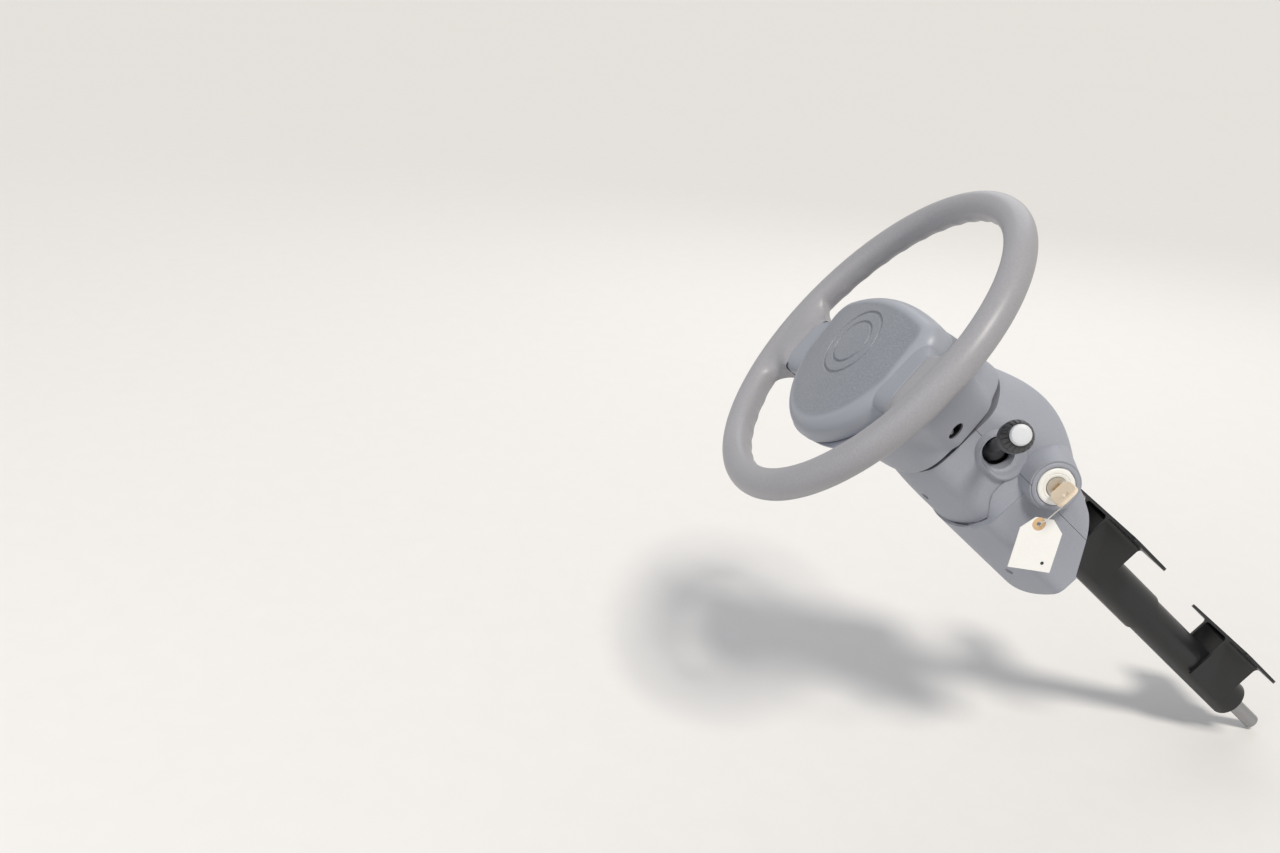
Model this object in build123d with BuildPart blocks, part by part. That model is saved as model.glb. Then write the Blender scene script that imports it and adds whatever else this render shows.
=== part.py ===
from build123d import *
from math import asin, cos, radians, sin, tan
import os

# Steering wheel and column of a small cab-over truck, right-hand drive.
# Part frame: +X to the right (outboard), +Y forward, +Z up, origin midway between the upper bracket's bolts.
# Column frame: x to the right, y towards twelve o'clock on the wheel, z up the column to the driver.
# Stations run along the column from the rim's centre and are negative on the way down.

os.makedirs("parts", exist_ok=True)

# Clearances and walls
seat_gap = 0.3
running_gap = 0.05
turning_gap = 5.0
sheet = 3.2

# Column attitude, and the upper bracket's place on it
tilt = 41.5
bracket_station = -330.0
bracket_lift = 46.0

# The wheel stands turned a little to the left, its right side up
wheel_turn = 11.0

# Rim section and spokes
rim_diameter = 372.0
grip_width = 29.0
crest_round = 4.0
spoke_top = 6.0
spoke_bottom = -56.0
spoke_flare = 34.0
spoke_knee = 4.0
spoke_front = 3.0
spoke_back = -24.0
spoke_rim_front = 6.0
spoke_rim_back = -9.0
spoke_front_round = 7.0
spoke_back_round = 4.0
spoke_gap = 1.2

# Hub pad
pad_half_width = 103.0
pad_top = 49.0
pad_shoulder = 33.0
pad_waist = -34.0
pad_bottom = -107.0
pad_corner = 28.0
pad_face = 15.0
pad_back = -20.0
pad_dome = 560.0
pad_crown_lift = 20.0
pad_edge_round = 16.0
pad_wall = 3.2
wing_reach = 123.0
wing_crown = 4.5
wing_shoulder = 1.0
wing_round = 9.0
emblem_centre = (-3.0, -11.0)
emblem_ovals = ((41.0, 36.5), (28.5, 24.5))
emblem_groove = 1.8
emblem_depth = 1.0

# Rear hub cover
hub_waist_station = -50.0
hub_back = -103.0
hub_back_radius = 61.0
hub_cover_wall = 2.8
cheek_root = 30.0
cheek_inset = 2.0
cheek_back_reach = 72.0
cheek_back_gap = 3.0
cheek_top_back = 27.0
cheek_bottom_back = -29.0
cheek_round = 9.0
access_drop = -18.5
access_station = -86.0
access_radius = 6.5

# Hub armature and nut
boss_radius = 22.0
boss_length = 46.0
arm_half_width = 25.0
arm_drop = -24.0
arm_thickness = 7.0
arm_corner = 6.0
arm_slot_centre = 58.0
arm_slot_length = 46.0
arm_slot_width = 26.0
nut_across = 19.0
nut_height = 8.0

# Shaft, tubes and bearings
shaft_radius = 9.0
thread_radius = 6.0
stub_radius = 8.0
stub_length = 40.0
stub_shoulder = 6.0
upper_tube_radius = 22.0
tube_wall = 2.0
tube_top = -150.0
tube_step = -430.0
tube_lap = 40.0
tube_bottom = -590.0
bearing_width = 14.0

# Brackets
bracket_length = 52.0
bracket_bend = 5.0
bracket_corner = 8.0
bolt_hole_radius = 4.5
upper_half_width = 82.0
upper_bolt_spacing = 130.0
lower_bracket_station = tube_bottom + 50
lower_half_width = 60.0
lower_bolt_spacing = 90.0

# Column covers
cover_wall = 2.6
rear_slant = ((-214.0, 80.0), (-283.0, -20.0), (-400.0, -20.0), (-400.0, 80.0))
cover_split = 11.0
cover_bottom = -72.0
tail_bottom = -73.5
split_gap = 0.4
step_station = -180.0
cover_rear = -285.0
cover_mouth_radius = 48.0
port_height = 11.0
port_station = -136.5
port_half_length = 17.0
port_half_height = 14.0
port_lip_station = -143.0
port_lip_half_length = 28.0
port_lip_half_height = 22.0
port_lip_root = 68.0
port_lip_face = 76.5
port_lip_slope = 25.0
screw_post_radius = 6.0
screw_recess_radius = 4.0
screw_recess_depth = 18.0
rear_post_x = 58.0
rear_post_station = -250.0

# Combination switch and spiral cable housing
switch_station = -143.0
switch_length = 34.0
switch_half_width = 48.0
switch_half_height = 31.0
switch_post_x = 30.0
spiral_radius = 43.0
spiral_length = 24.0
spiral_bore = 16.0

# Stalks
stalk_root = (46.0, 8.0, -143.0)
stalk_tip = (185.0, 34.0, -77.0)
boot_start = 8.0
boot_radius = 11.5
stalk_radius = 5.6
knob_length = 46.0
knob_radius = 14.5
knob_neck_radius = 13.0
knob_tip_radius = 10.8
knob_tip_length = 6.0
knob_band_length = 24.0
knob_skirt_start = 27.5
rib_start = 29.0
rib_count = 18
rib_groove = 0.9

# Ignition lock and key
lock_face = (100.0, 26.0, -190.0)
lock_angle = 4.0
bezel_radius = 21.0
bezel_height = 5.0
bezel_sunk = 4.0
bezel_chamfer = 1.2
rotor_radius = 9.5
barrel_radius = 15.5
barrel_length = 82.0
lock_boss_face = 24.5
lock_boss_base = 34.0
lock_boss_depth = 44.0
clamp_radius = 31.0
clamp_length = 34.0
key_thickness = 2.4
key_blade_width = 8.4
key_bow_width = 23.0
key_bow_length = 27.0
key_hole_radius = 2.6
key_eye_inset = 6.0
key_corner = 6.0
key_shoulder = 3.0

# Key tag on its string
tag_width = 42.0
tag_height = 52.0
tag_clip = 12.0
tag_thickness = 0.8
tag_centre = (112.0, -134.0, 25.5)
tag_roll = 9.0
tag_hole = (-4.0, 20.0)
tag_hole_radius = 2.2
string_radius = 0.6
string_tail = 5.0
string_sag = 2.0

along = Vector(0, -cos(radians(tilt)), sin(radians(tilt)))
upward = Vector(0, sin(radians(tilt)), cos(radians(tilt)))
rightward = Vector(1, 0, 0)
rim_centre = along * -bracket_station - upward * bracket_lift
column = Plane(origin=rim_centre, x_dir=rightward, z_dir=along)
column_axis = Axis(rim_centre, along)
radial_plane = Plane(origin=rim_centre, x_dir=rightward, z_dir=-upward)
side_plane = Plane(origin=rim_centre, x_dir=along, z_dir=-rightward)
wheel_right = rightward * cos(radians(wheel_turn)) + upward * sin(radians(wheel_turn))
wheel = Plane(origin=rim_centre, x_dir=wheel_right, z_dir=along)


def at(x, y, station):
    """A point of the column frame."""
    return column.from_local_coords(Vector(x, y, station))


def toward(x, y, z):
    """A direction of the column frame."""
    return rightward * x + upward * y + along * z


def on_wheel(x, y, station):
    """A point of the wheel's own frame, the column frame turned with the wheel."""
    return wheel.from_local_coords(Vector(x, y, station))


def off_axis(edge):
    """How far to either side of the wheel's middle an edge lies."""
    return abs(wheel.to_local_coords(edge.center()).X)


def finish(solid, name):
    solid.label = name
    export_step(solid, "parts/" + name + ".step")


def shield(base, station, right, left, top, shoulder, waist, bottom, corner, inset=0.0):
    """Section across the base plane's axis: straight sides between an arched top and an arched bottom."""
    low = inset - left
    high = right - inset
    middle = (right - left) / 2
    with BuildSketch(base.offset(station)) as section:
        with BuildLine():
            Line((low, waist), (low, shoulder))
            ThreePointArc((low, shoulder), (middle, top - inset), (high, shoulder))
            Line((high, shoulder), (high, waist))
            ThreePointArc((high, waist), (middle, bottom + inset), (low, waist))
        make_face()
        fillet(section.vertices(), corner - inset)
    return section.sketch


# Wheel rim with its two spokes, one moulding
rim_radius = (rim_diameter - grip_width) / 2
half_grip = grip_width / 2
spoke_end = wing_reach + spoke_gap
top_angle = asin((spoke_top + spoke_flare) / rim_radius)
bottom_angle = asin((spoke_bottom - spoke_flare) / rim_radius)


def spoke_form(side):
    """One broad spoke that flares into the rim above and below and thins towards it."""
    rim_top = (side * rim_radius * cos(top_angle), spoke_top + spoke_flare)
    rim_bottom = (side * rim_radius * cos(bottom_angle), spoke_bottom - spoke_flare)
    knee_top = (side * (spoke_end + spoke_knee), spoke_top)
    knee_bottom = (side * (spoke_end + spoke_knee), spoke_bottom)
    end_top = (side * spoke_end, spoke_top)
    end_bottom = (side * spoke_end, spoke_bottom)
    slopes = (
        (spoke_end, spoke_front),
        (rim_radius, spoke_rim_front),
        (rim_radius, spoke_rim_back),
        (spoke_end, spoke_back),
    )
    with BuildPart() as spoke:
        with BuildSketch(wheel.offset(spoke_back)):
            with BuildLine():
                Polyline(knee_bottom, end_bottom, end_top, knee_top)
                TangentArc(knee_top, rim_top, tangent=(side, 0))
                ThreePointArc(rim_top, (side * rim_radius, 0), rim_bottom)
                TangentArc(knee_bottom, rim_bottom, tangent=(side, 0))
            make_face()
        extrude(amount=spoke_rim_front - spoke_back)
        with BuildSketch(Plane(origin=rim_centre, x_dir=wheel.x_dir * side, z_dir=wheel.y_dir * -side)):
            Polygon(*slopes, align=None)
        extrude(amount=rim_radius, both=True, mode=Mode.INTERSECT)
        for place, rounding in ((-1, spoke_front_round), (0, spoke_back_round)):
            outline = spoke.faces().sort_by(column_axis)[place].edges()
            fillet(outline.filter_by(lambda edge: off_axis(edge) > spoke_end + 1), rounding)
    return spoke.part


right_spoke = spoke_form(1)
left_spoke = spoke_form(-1)
with BuildPart() as wheel_rim:
    with BuildSketch(radial_plane) as grip:
        with BuildLine():
            rear = (rim_radius, -half_grip)
            front = (rim_radius, half_grip)
            crest = (rim_radius - 0.84 * half_grip, 0.66 * half_grip)
            inner = (rim_radius - 0.88 * half_grip, -0.42 * half_grip)
            ThreePointArc(rear, (rim_radius + half_grip, 0), front)
            ThreePointArc(front, (rim_radius - 0.44 * half_grip, 0.93 * half_grip), crest)
            ThreePointArc(crest, (rim_radius - 0.98 * half_grip, 0.12 * half_grip), inner)
            ThreePointArc(inner, (rim_radius - 0.56 * half_grip, -0.84 * half_grip), rear)
        make_face()
        fillet(grip.vertices().sort_by_distance((*crest, 0))[0], crest_round)
    revolve(axis=column_axis)
    add(right_spoke)
    add(left_spoke)
finish(wheel_rim.part, "wheel_rim")

# Hub pad: a domed, hollow moulding, open at the back, with a smooth wing out over each spoke's root
pad_section = (pad_half_width, pad_half_width, pad_top, pad_shoulder, pad_waist, pad_bottom, pad_corner)
dome_centre = on_wheel(0, pad_crown_lift, pad_face - pad_dome)
wing_middle = (spoke_top + spoke_bottom) / 2


def pad_form(inset):
    outline = shield(wheel, pad_back, *pad_section, inset)
    with BuildPart() as form:
        extrude(outline, amount=pad_face - pad_back + 5)
        with Locations(Location(dome_centre)):
            Sphere(pad_dome - inset, mode=Mode.INTERSECT)
        fillet(form.faces().sort_by(column_axis)[-1].edges(), pad_edge_round - inset)
        with BuildSketch(Plane(origin=rim_centre, x_dir=wheel.y_dir, z_dir=wheel.x_dir)) as wing:
            low = (spoke_bottom + inset, wing_shoulder - inset)
            high = (spoke_top - inset, wing_shoulder - inset)
            with BuildLine():
                Polyline(low, (spoke_bottom + inset, pad_back), (spoke_top - inset, pad_back), high)
                ThreePointArc(low, (wing_middle, wing_crown - inset), high)
            make_face()
            fillet(wing.vertices().filter_by(lambda v: v.Y > pad_back + 1), wing_round - inset)
        extrude(amount=wing_reach - inset, both=True)
    return form.part


with BuildPart() as emblem_grooves:
    for half_width, half_height in emblem_ovals:
        with BuildSketch(wheel.offset(pad_face - 6)):
            with Locations(emblem_centre):
                Ellipse(half_width, half_height)
                Ellipse(half_width - emblem_groove, half_height - emblem_groove, mode=Mode.SUBTRACT)
        extrude(amount=10)
    with Locations(Location(dome_centre)):
        Sphere(pad_dome - emblem_depth, mode=Mode.SUBTRACT)

pad_outer = pad_form(0)
pad_inner = pad_form(pad_wall)
with BuildPart() as hub_pad:
    add(pad_outer)
    add(pad_inner, mode=Mode.SUBTRACT)
    add(emblem_grooves.part, mode=Mode.SUBTRACT)
finish(hub_pad.part, "hub_pad")

# Hub armature: boss on the shaft, with an arm out to each spoke
arm_top = pad_back - seat_gap
arm_bottom = arm_top - arm_thickness
boss_bottom = arm_top - boss_length
with BuildPart() as hub_armature:
    with BuildSketch(column.offset(boss_bottom)):
        Circle(boss_radius)
    extrude(amount=boss_length)
    with BuildSketch(wheel.offset(arm_bottom)):
        with Locations((0, arm_drop)):
            RectangleRounded(2 * (spoke_end - seat_gap), 2 * arm_half_width, arm_corner)
        with Locations((-arm_slot_centre, arm_drop), (arm_slot_centre, arm_drop)):
            SlotOverall(arm_slot_length, arm_slot_width, mode=Mode.SUBTRACT)
    extrude(amount=arm_thickness)
    with BuildSketch(column.offset(boss_bottom)):
        Circle(shaft_radius + running_gap)
    extrude(amount=boss_length, mode=Mode.SUBTRACT)
finish(hub_armature.part, "hub_armature")

with BuildPart() as shaft_nut:
    with BuildSketch(column.offset(arm_top + seat_gap)):
        RegularPolygon(nut_across / 2, 6, major_radius=False)
        Circle(thread_radius + running_gap, mode=Mode.SUBTRACT)
    extrude(amount=nut_height)
    chamfer(shaft_nut.faces().sort_by(column_axis)[-1].outer_wire().edges(), 1)
finish(shaft_nut.part, "shaft_nut")

# Rear hub cover: a cone down to the column with a deep cheek behind each spoke
hub_front = arm_top
hub_sections = (
    (hub_front, *pad_section),
    (hub_waist_station, 74.0, 74.0, 52.0, 34.0, -42.0, -80.0, 20.0),
    (hub_back, hub_back_radius, hub_back_radius, 56.0, 26.0, -26.0, -58.0, 22.0),
)


def hub_form(inset):
    cone = loft([shield(wheel, *section, inset) for section in hub_sections], ruled=True)
    with BuildPart() as form:
        add(cone)
        for side in (1, -1):
            with BuildSketch(wheel.offset(hub_front)):
                reach = wing_reach - cheek_inset
                with Locations((side * (reach + cheek_root) / 2, wing_middle)):
                    width = reach - cheek_root - 2 * inset
                    height = spoke_top - spoke_bottom - 2 * (cheek_inset + inset)
                    RectangleRounded(width, height, cheek_round - inset)
            with BuildSketch(wheel.offset(hub_back + cheek_back_gap + inset)):
                middle = (cheek_top_back + cheek_bottom_back) / 2
                with Locations((side * (cheek_back_reach + cheek_root) / 2, middle)):
                    width = cheek_back_reach - cheek_root - 2 * inset
                    height = cheek_top_back - cheek_bottom_back - 2 * inset
                    RectangleRounded(width, height, cheek_round - inset)
            loft()
    return form.part


hub_outer = hub_form(0)
hub_inner = hub_form(hub_cover_wall)
with BuildPart() as rear_hub_cover:
    add(hub_outer)
    add(hub_inner, mode=Mode.SUBTRACT)
    with BuildSketch(wheel.offset(arm_bottom - seat_gap)):
        with Locations((0, arm_drop)):
            Rectangle(2 * spoke_end + 20, 2 * (arm_half_width + seat_gap))
    extrude(amount=arm_thickness + 2 * seat_gap, mode=Mode.SUBTRACT)
    for side in (1, -1):
        outside = on_wheel(side * rim_radius, access_drop, access_station)
        with BuildSketch(Plane(origin=outside, z_dir=wheel.x_dir * -side)):
            Circle(access_radius)
        extrude(amount=rim_radius - hub_back_radius, mode=Mode.SUBTRACT)
finish(rear_hub_cover.part, "rear_hub_cover")

# Steering shaft: thread and nut seat on top, notched stub for a clamp yoke below
shaft_bottom = tube_bottom - stub_shoulder
with BuildPart() as steering_shaft:
    with BuildSketch(column.offset(shaft_bottom)):
        Circle(shaft_radius)
    extrude(amount=arm_top - 1 - shaft_bottom)
    with BuildSketch(column.offset(arm_top - 1)):
        Circle(thread_radius)
    extrude(amount=nut_height + 3)
    with BuildSketch(column.offset(shaft_bottom - stub_length)):
        Circle(stub_radius)
    extrude(amount=stub_length)
    chamfer(steering_shaft.faces().sort_by(column_axis)[0].edges(), 1)
finish(steering_shaft.part, "steering_shaft")

# Column tube in two telescoping lengths, with a bearing at each end
lower_tube_radius = upper_tube_radius - tube_wall - running_gap
tubes = (
    ("column_tube", tube_top, tube_step, upper_tube_radius),
    ("lower_tube", tube_step + tube_lap, tube_bottom, lower_tube_radius),
)
for name, top, bottom, radius in tubes:
    with BuildPart() as tube:
        with BuildSketch(column.offset(bottom)):
            Circle(radius)
            Circle(radius - tube_wall, mode=Mode.SUBTRACT)
        extrude(amount=top - bottom)
    finish(tube.part, name)

bearings = (
    ("upper_bearing", tube_top - bearing_width, upper_tube_radius - tube_wall),
    ("lower_bearing", tube_bottom, lower_tube_radius - tube_wall),
)
for name, station, radius in bearings:
    with BuildPart() as bearing:
        with BuildSketch(column.offset(station)):
            Circle(radius)
            Circle(shaft_radius + running_gap, mode=Mode.SUBTRACT)
        extrude(amount=bearing_width)
    finish(bearing.part, name)

# Pressed brackets: a saddle over the tube with a bolted wing on each side
brackets = (
    ("upper_bracket", bracket_station, upper_half_width, upper_bolt_spacing, upper_tube_radius),
    ("lower_bracket", lower_bracket_station, lower_half_width, lower_bolt_spacing, lower_tube_radius),
)
for name, station, half_width, spacing, radius in brackets:
    leg = radius + seat_gap / 2
    leg_middle = (bracket_lift - radius / 2) / 2
    with BuildPart() as bracket:
        with BuildSketch(column.offset(station - bracket_length / 2)) as profile:
            with Locations((0, bracket_lift - sheet / 2)):
                Rectangle(2 * half_width, sheet)
            with Locations((leg + sheet / 2, leg_middle), (-leg - sheet / 2, leg_middle)):
                Rectangle(sheet, bracket_lift + radius / 2)
            bends = profile.vertices().filter_by(
                lambda v: abs(v.Y - bracket_lift + sheet) < 0.1 and abs(v.X) < half_width - 1
            )
            fillet(bends, bracket_bend)
        extrude(amount=bracket_length)
        with BuildSketch(Plane(origin=at(0, bracket_lift + 1, station), x_dir=rightward, z_dir=-upward)):
            with Locations((-spacing / 2, 0), (spacing / 2, 0)):
                Circle(bolt_hole_radius)
        extrude(amount=sheet + 2, mode=Mode.SUBTRACT)
        corners = bracket.edges().filter_by(Axis(rim_centre, upward))
        fillet(corners.filter_by(lambda edge: abs(edge.center().X) > half_width - 1), bracket_corner)
    finish(bracket.part, name)

# Column covers: a drum behind the wheel with a wider tail for the lock, hollow and split in two
cover_front = hub_back - turning_gap
# station, right, left, top, shoulder, waist, bottom, corner
drum_sections = (
    (cover_front, 69.0, 69.0, 64.0, 34.0, -38.0, cover_bottom + 3, 26.0),
    (-150.0, 73.0, 73.0, 78.0, 46.0, -42.0, cover_bottom, 26.0),
    (-195.0, 75.0, 75.0, 76.0, 44.0, -42.0, cover_bottom, 26.0),
    (-240.0, 76.0, 76.0, 50.0, 24.0, -42.0, cover_bottom, 20.0),
    (cover_rear, 77.0, 77.0, 26.0, 4.0, -42.0, cover_bottom, 16.0),
)
tail_sections = (
    (step_station, 87.0, 78.0, 62.0, 50.0, -42.0, tail_bottom, 20.0),
    (-232.0, 89.0, 79.0, 46.0, 36.0, -42.0, tail_bottom, 18.0),
    (cover_rear, 90.0, 80.0, 22.0, 12.0, -42.0, tail_bottom, 16.0),
)
lock_out = toward(cos(radians(lock_angle)), 0, sin(radians(lock_angle)))
lock_centre = at(*lock_face)


def lock_plane(reach):
    """Plane across the lock's axis, a distance out from its face."""
    return Plane(origin=lock_centre + lock_out * reach, x_dir=upward, z_dir=lock_out)


def cover_form(inset):
    """Drum, tail and lock boss as one solid, drawn in by a wall's thickness for the hollow."""
    drum = loft([shield(column, *section, inset) for section in drum_sections])
    tail = loft([shield(column, *section, inset) for section in tail_sections], ruled=True)
    with BuildPart() as form:
        add(drum)
        add(tail)
        with BuildSketch(lock_plane(-lock_boss_depth)):
            Circle(lock_boss_base - inset)
        with BuildSketch(lock_plane(0 if inset else -1.5)):
            Circle(lock_boss_face - inset)
        loft()
    return form.part


def port_plane(side, reach, station):
    """Plane over a stalk's port, its normal pointing out of the cover."""
    return Plane(origin=at(side * reach, port_height, station), x_dir=along, z_dir=toward(side, 0, 0))


def posts_form(side):
    """Screw posts inside a cover half: two on the switch body, two on the other half's posts."""
    switch_side = at(0, side * (switch_half_height + seat_gap), switch_station)
    rear_split = at(0, cover_split + side * split_gap / 2, rear_post_station)
    with BuildPart() as posts:
        for origin, spread in ((switch_side, switch_post_x), (rear_split, rear_post_x)):
            with BuildSketch(Plane(origin=origin, x_dir=rightward, z_dir=upward * side)):
                with Locations((-spread, 0), (spread, 0)):
                    Circle(screw_post_radius)
            extrude(amount=pad_half_width)
        add(cover_outer, mode=Mode.INTERSECT)
    return posts.part


cover_outer = cover_form(0)
cover_inner = cover_form(cover_wall)
with BuildPart() as cover_shell:
    add(cover_outer)
    add(cover_inner, mode=Mode.SUBTRACT)
    mouth = shield(column, *drum_sections[0], cover_wall / 2)
    extrude(mouth, amount=-cover_wall)
    with BuildSketch(column.offset(cover_front + 1)):
        Circle(cover_mouth_radius)
    extrude(amount=-cover_wall - 2, mode=Mode.SUBTRACT)
    for side in (1, -1):
        with BuildSketch(port_plane(side, port_lip_root, port_lip_station)):
            SlotOverall(2 * port_lip_half_length, 2 * port_lip_half_height)
        extrude(amount=port_lip_face - port_lip_root, taper=port_lip_slope)
        with BuildSketch(port_plane(side, port_lip_root - 10, port_station)):
            SlotOverall(2 * port_half_length, 2 * port_half_height)
        extrude(amount=40, mode=Mode.SUBTRACT)
    with BuildSketch(side_plane):
        with BuildLine():
            Polyline(*rear_slant, close=True)
        make_face()
    extrude(amount=150, both=True, mode=Mode.SUBTRACT)

for name, side in (("upper_cover", 1), ("lower_cover", -1)):
    posts = posts_form(side)
    split_face = at(0, cover_split + side * split_gap / 2, (cover_front + cover_rear) / 2)
    with BuildPart() as cover:
        add(cover_shell.part)
        add(posts)
        with BuildSketch(Plane(origin=split_face, x_dir=rightward, z_dir=upward * side)):
            Rectangle(rim_diameter, rim_diameter)
        extrude(amount=rim_diameter / 2, mode=Mode.INTERSECT)
        if side < 0:
            for spread, station in ((switch_post_x, switch_station), (rear_post_x, rear_post_station)):
                below = at(0, cover_bottom - screw_recess_radius, station)
                with BuildSketch(Plane(origin=below, x_dir=rightward, z_dir=upward)):
                    with Locations((-spread, 0), (spread, 0)):
                        Circle(screw_recess_radius)
                extrude(amount=screw_recess_radius + screw_recess_depth, mode=Mode.SUBTRACT)
    finish(cover.part, name)

# Combination switch body and spiral cable housing
with BuildPart() as switch_body:
    with BuildSketch(column.offset(switch_station - switch_length / 2)):
        RectangleRounded(2 * switch_half_width, 2 * switch_half_height, 8)
        Circle(upper_tube_radius + seat_gap, mode=Mode.SUBTRACT)
    extrude(amount=switch_length)
finish(switch_body.part, "switch_body")

with BuildPart() as spiral_housing:
    with BuildSketch(column.offset(switch_station + switch_length / 2 + seat_gap)):
        Circle(spiral_radius)
        Circle(spiral_bore, mode=Mode.SUBTRACT)
    extrude(amount=spiral_length)
    chamfer(spiral_housing.faces().sort_by(column_axis)[-1].outer_wire().edges(), 2)
finish(spiral_housing.part, "spiral_housing")

# Stalks: a turned lever with a domed boot in the cover's port, and a rotary knob on its end
for side, hand in ((1, "right"), (-1, "left")):
    root = at(side * stalk_root[0], stalk_root[1], stalk_root[2])
    tip = at(side * stalk_tip[0], stalk_tip[1], stalk_tip[2])
    out = (tip - root).normalized()
    lever_length = (tip - root).length - knob_length - seat_gap
    lever_plane = Plane(origin=root, x_dir=out, z_dir=out.cross(upward).normalized())
    with BuildPart() as stalk:
        with BuildSketch(lever_plane):
            with BuildLine():
                Polyline((boot_start, 0), (boot_start, boot_radius - 2))
                ThreePointArc(
                    (boot_start, boot_radius - 2),
                    (boot_start + 10, boot_radius),
                    (boot_start + 20, boot_radius - 3),
                )
                Polyline(
                    (boot_start + 20, boot_radius - 3),
                    (boot_start + 24, stalk_radius + 1),
                    (lever_length, stalk_radius),
                    (lever_length, 0),
                    (boot_start, 0),
                )
            make_face()
        revolve(axis=Axis(root, out))
    finish(stalk.part, hand + "_stalk")

    knob_plane = Plane(origin=tip - out * knob_length, x_dir=out, z_dir=out.cross(upward).normalized())
    with BuildPart() as knob:
        with BuildSketch(knob_plane):
            with BuildLine():
                Polyline(
                    (0, 0),
                    (0, knob_radius - 3),
                    (3, knob_radius - 1),
                    (knob_band_length, knob_radius),
                    (knob_band_length + 1, knob_neck_radius),
                    (knob_skirt_start - 1, knob_neck_radius),
                    (knob_skirt_start, knob_radius - 0.6),
                    (knob_length - knob_tip_length - 1, knob_neck_radius),
                    (knob_length - knob_tip_length, knob_tip_radius),
                    (knob_length - 1, knob_tip_radius),
                    (knob_length, knob_tip_radius - 1),
                    (knob_length, 0),
                    (0, 0),
                )
            make_face()
        revolve(axis=Axis(tip, out))
        with BuildSketch(Plane(origin=tip - out * (knob_length - rib_start), z_dir=out)):
            with PolarLocations(knob_radius, rib_count):
                Rectangle(4 * rib_groove, 1.6 * rib_groove)
        extrude(amount=knob_length - knob_tip_length - rib_start, mode=Mode.SUBTRACT)
    finish(knob.part, hand + "_knob")

# Ignition lock: cast housing clamped on the tube, cream bezel, rotor and key
with BuildPart() as lock_housing:
    with BuildSketch(column.offset(lock_face[2] - bezel_sunk - clamp_length / 2)):
        Circle(clamp_radius)
    extrude(amount=clamp_length)
    with BuildSketch(lock_plane(-bezel_sunk - barrel_length)):
        Circle(barrel_radius)
    extrude(amount=barrel_length)
    with BuildSketch(column.offset(lock_face[2] - clamp_length)):
        Circle(upper_tube_radius)
    extrude(amount=2 * clamp_length, mode=Mode.SUBTRACT)
finish(lock_housing.part, "lock_housing")

bezel_back = seat_gap - bezel_sunk
with BuildPart() as lock_bezel:
    with BuildSketch(lock_plane(bezel_back)):
        Circle(bezel_radius)
    extrude(amount=bezel_height)
    chamfer(lock_bezel.faces().sort_by(Axis(lock_centre, lock_out))[-1].edges(), bezel_chamfer)
    with BuildSketch(lock_plane(bezel_back)):
        Circle(rotor_radius + seat_gap)
    extrude(amount=bezel_height, mode=Mode.SUBTRACT)
finish(lock_bezel.part, "lock_bezel")

with BuildPart() as lock_rotor:
    with BuildSketch(lock_plane(bezel_back)):
        Circle(rotor_radius)
    extrude(amount=bezel_height + 1)
    with BuildSketch(lock_plane(bezel_back)):
        Rectangle(key_blade_width + 2 * running_gap, key_thickness + 2 * running_gap)
    extrude(amount=bezel_height + 1, mode=Mode.SUBTRACT)
finish(lock_rotor.part, "lock_rotor")

bow_start = bezel_back + bezel_height + 1 + key_shoulder
key_plane = Plane(origin=lock_centre, x_dir=lock_out, z_dir=lock_out.cross(upward).normalized())
with BuildPart() as key:
    with BuildSketch(key_plane):
        with Locations((bezel_back + seat_gap, 0)):
            blade_length = bow_start + key_shoulder - bezel_back
            Rectangle(blade_length, key_blade_width, align=(Align.MIN, Align.CENTER))
        with Locations((bow_start + key_bow_length / 2, 0)):
            RectangleRounded(key_bow_length, key_bow_width, key_corner)
        with Locations((bow_start + key_bow_length - key_eye_inset, 0)):
            Circle(key_hole_radius, mode=Mode.SUBTRACT)
    extrude(amount=key_thickness / 2, both=True)
finish(key.part, "key")

# Key tag, hanging beside the covers on a short string through the key's bow
tag_across = Vector(0, cos(radians(tag_roll)), -sin(radians(tag_roll)))
tag_upward = Vector(0, sin(radians(tag_roll)), cos(radians(tag_roll)))
tag_plane = Plane(origin=tag_centre, x_dir=tag_across, z_dir=rightward)
with BuildPart() as key_tag:
    with BuildSketch(tag_plane) as tag:
        Rectangle(tag_width, tag_height)
        chamfer(tag.vertices().group_by(Axis.Y)[-1], tag_clip)
        with Locations(tag_hole):
            Circle(tag_hole_radius, mode=Mode.SUBTRACT)
    extrude(amount=tag_thickness / 2, both=True)
finish(key_tag.part, "key_tag")

bow_eye = key_plane.from_local_coords(Vector(bow_start + key_bow_length - key_eye_inset, 0, 0))
string_top = bow_eye - upward * (key_hole_radius - string_radius - seat_gap)
string_bottom = tag_plane.from_local_coords(Vector(*tag_hole, 0)) + tag_upward * (
    tag_hole_radius - string_radius - seat_gap
)
string_points = [
    string_top + along * string_tail,
    string_top - along * string_tail,
    (string_top + string_bottom) / 2 - along * string_sag + rightward * (string_tail - string_sag),
    string_bottom + rightward * string_tail,
    string_bottom - rightward * string_tail,
]


def bend_radius(before, corner, after):
    """Largest tangent arc that leaves a tenth of each run straight."""
    turn = (corner - before).get_angle(after - corner)
    return 0.45 * min((corner - before).length, (after - corner).length) / tan(radians(turn / 2))


string_radii = [bend_radius(*string_points[i : i + 3]) for i in range(len(string_points) - 2)]
print("string bend radii", [round(radius, 1) for radius in string_radii])
with BuildPart() as tag_string:
    with BuildLine():
        route = FilletPolyline(*string_points, radius=string_radii)
    with BuildSketch(Plane(origin=route @ 0, z_dir=route % 0)):
        Circle(string_radius)
    sweep(path=route)
print("string length", round(route.length, 1))
finish(tag_string.part, "tag_string")
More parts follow.
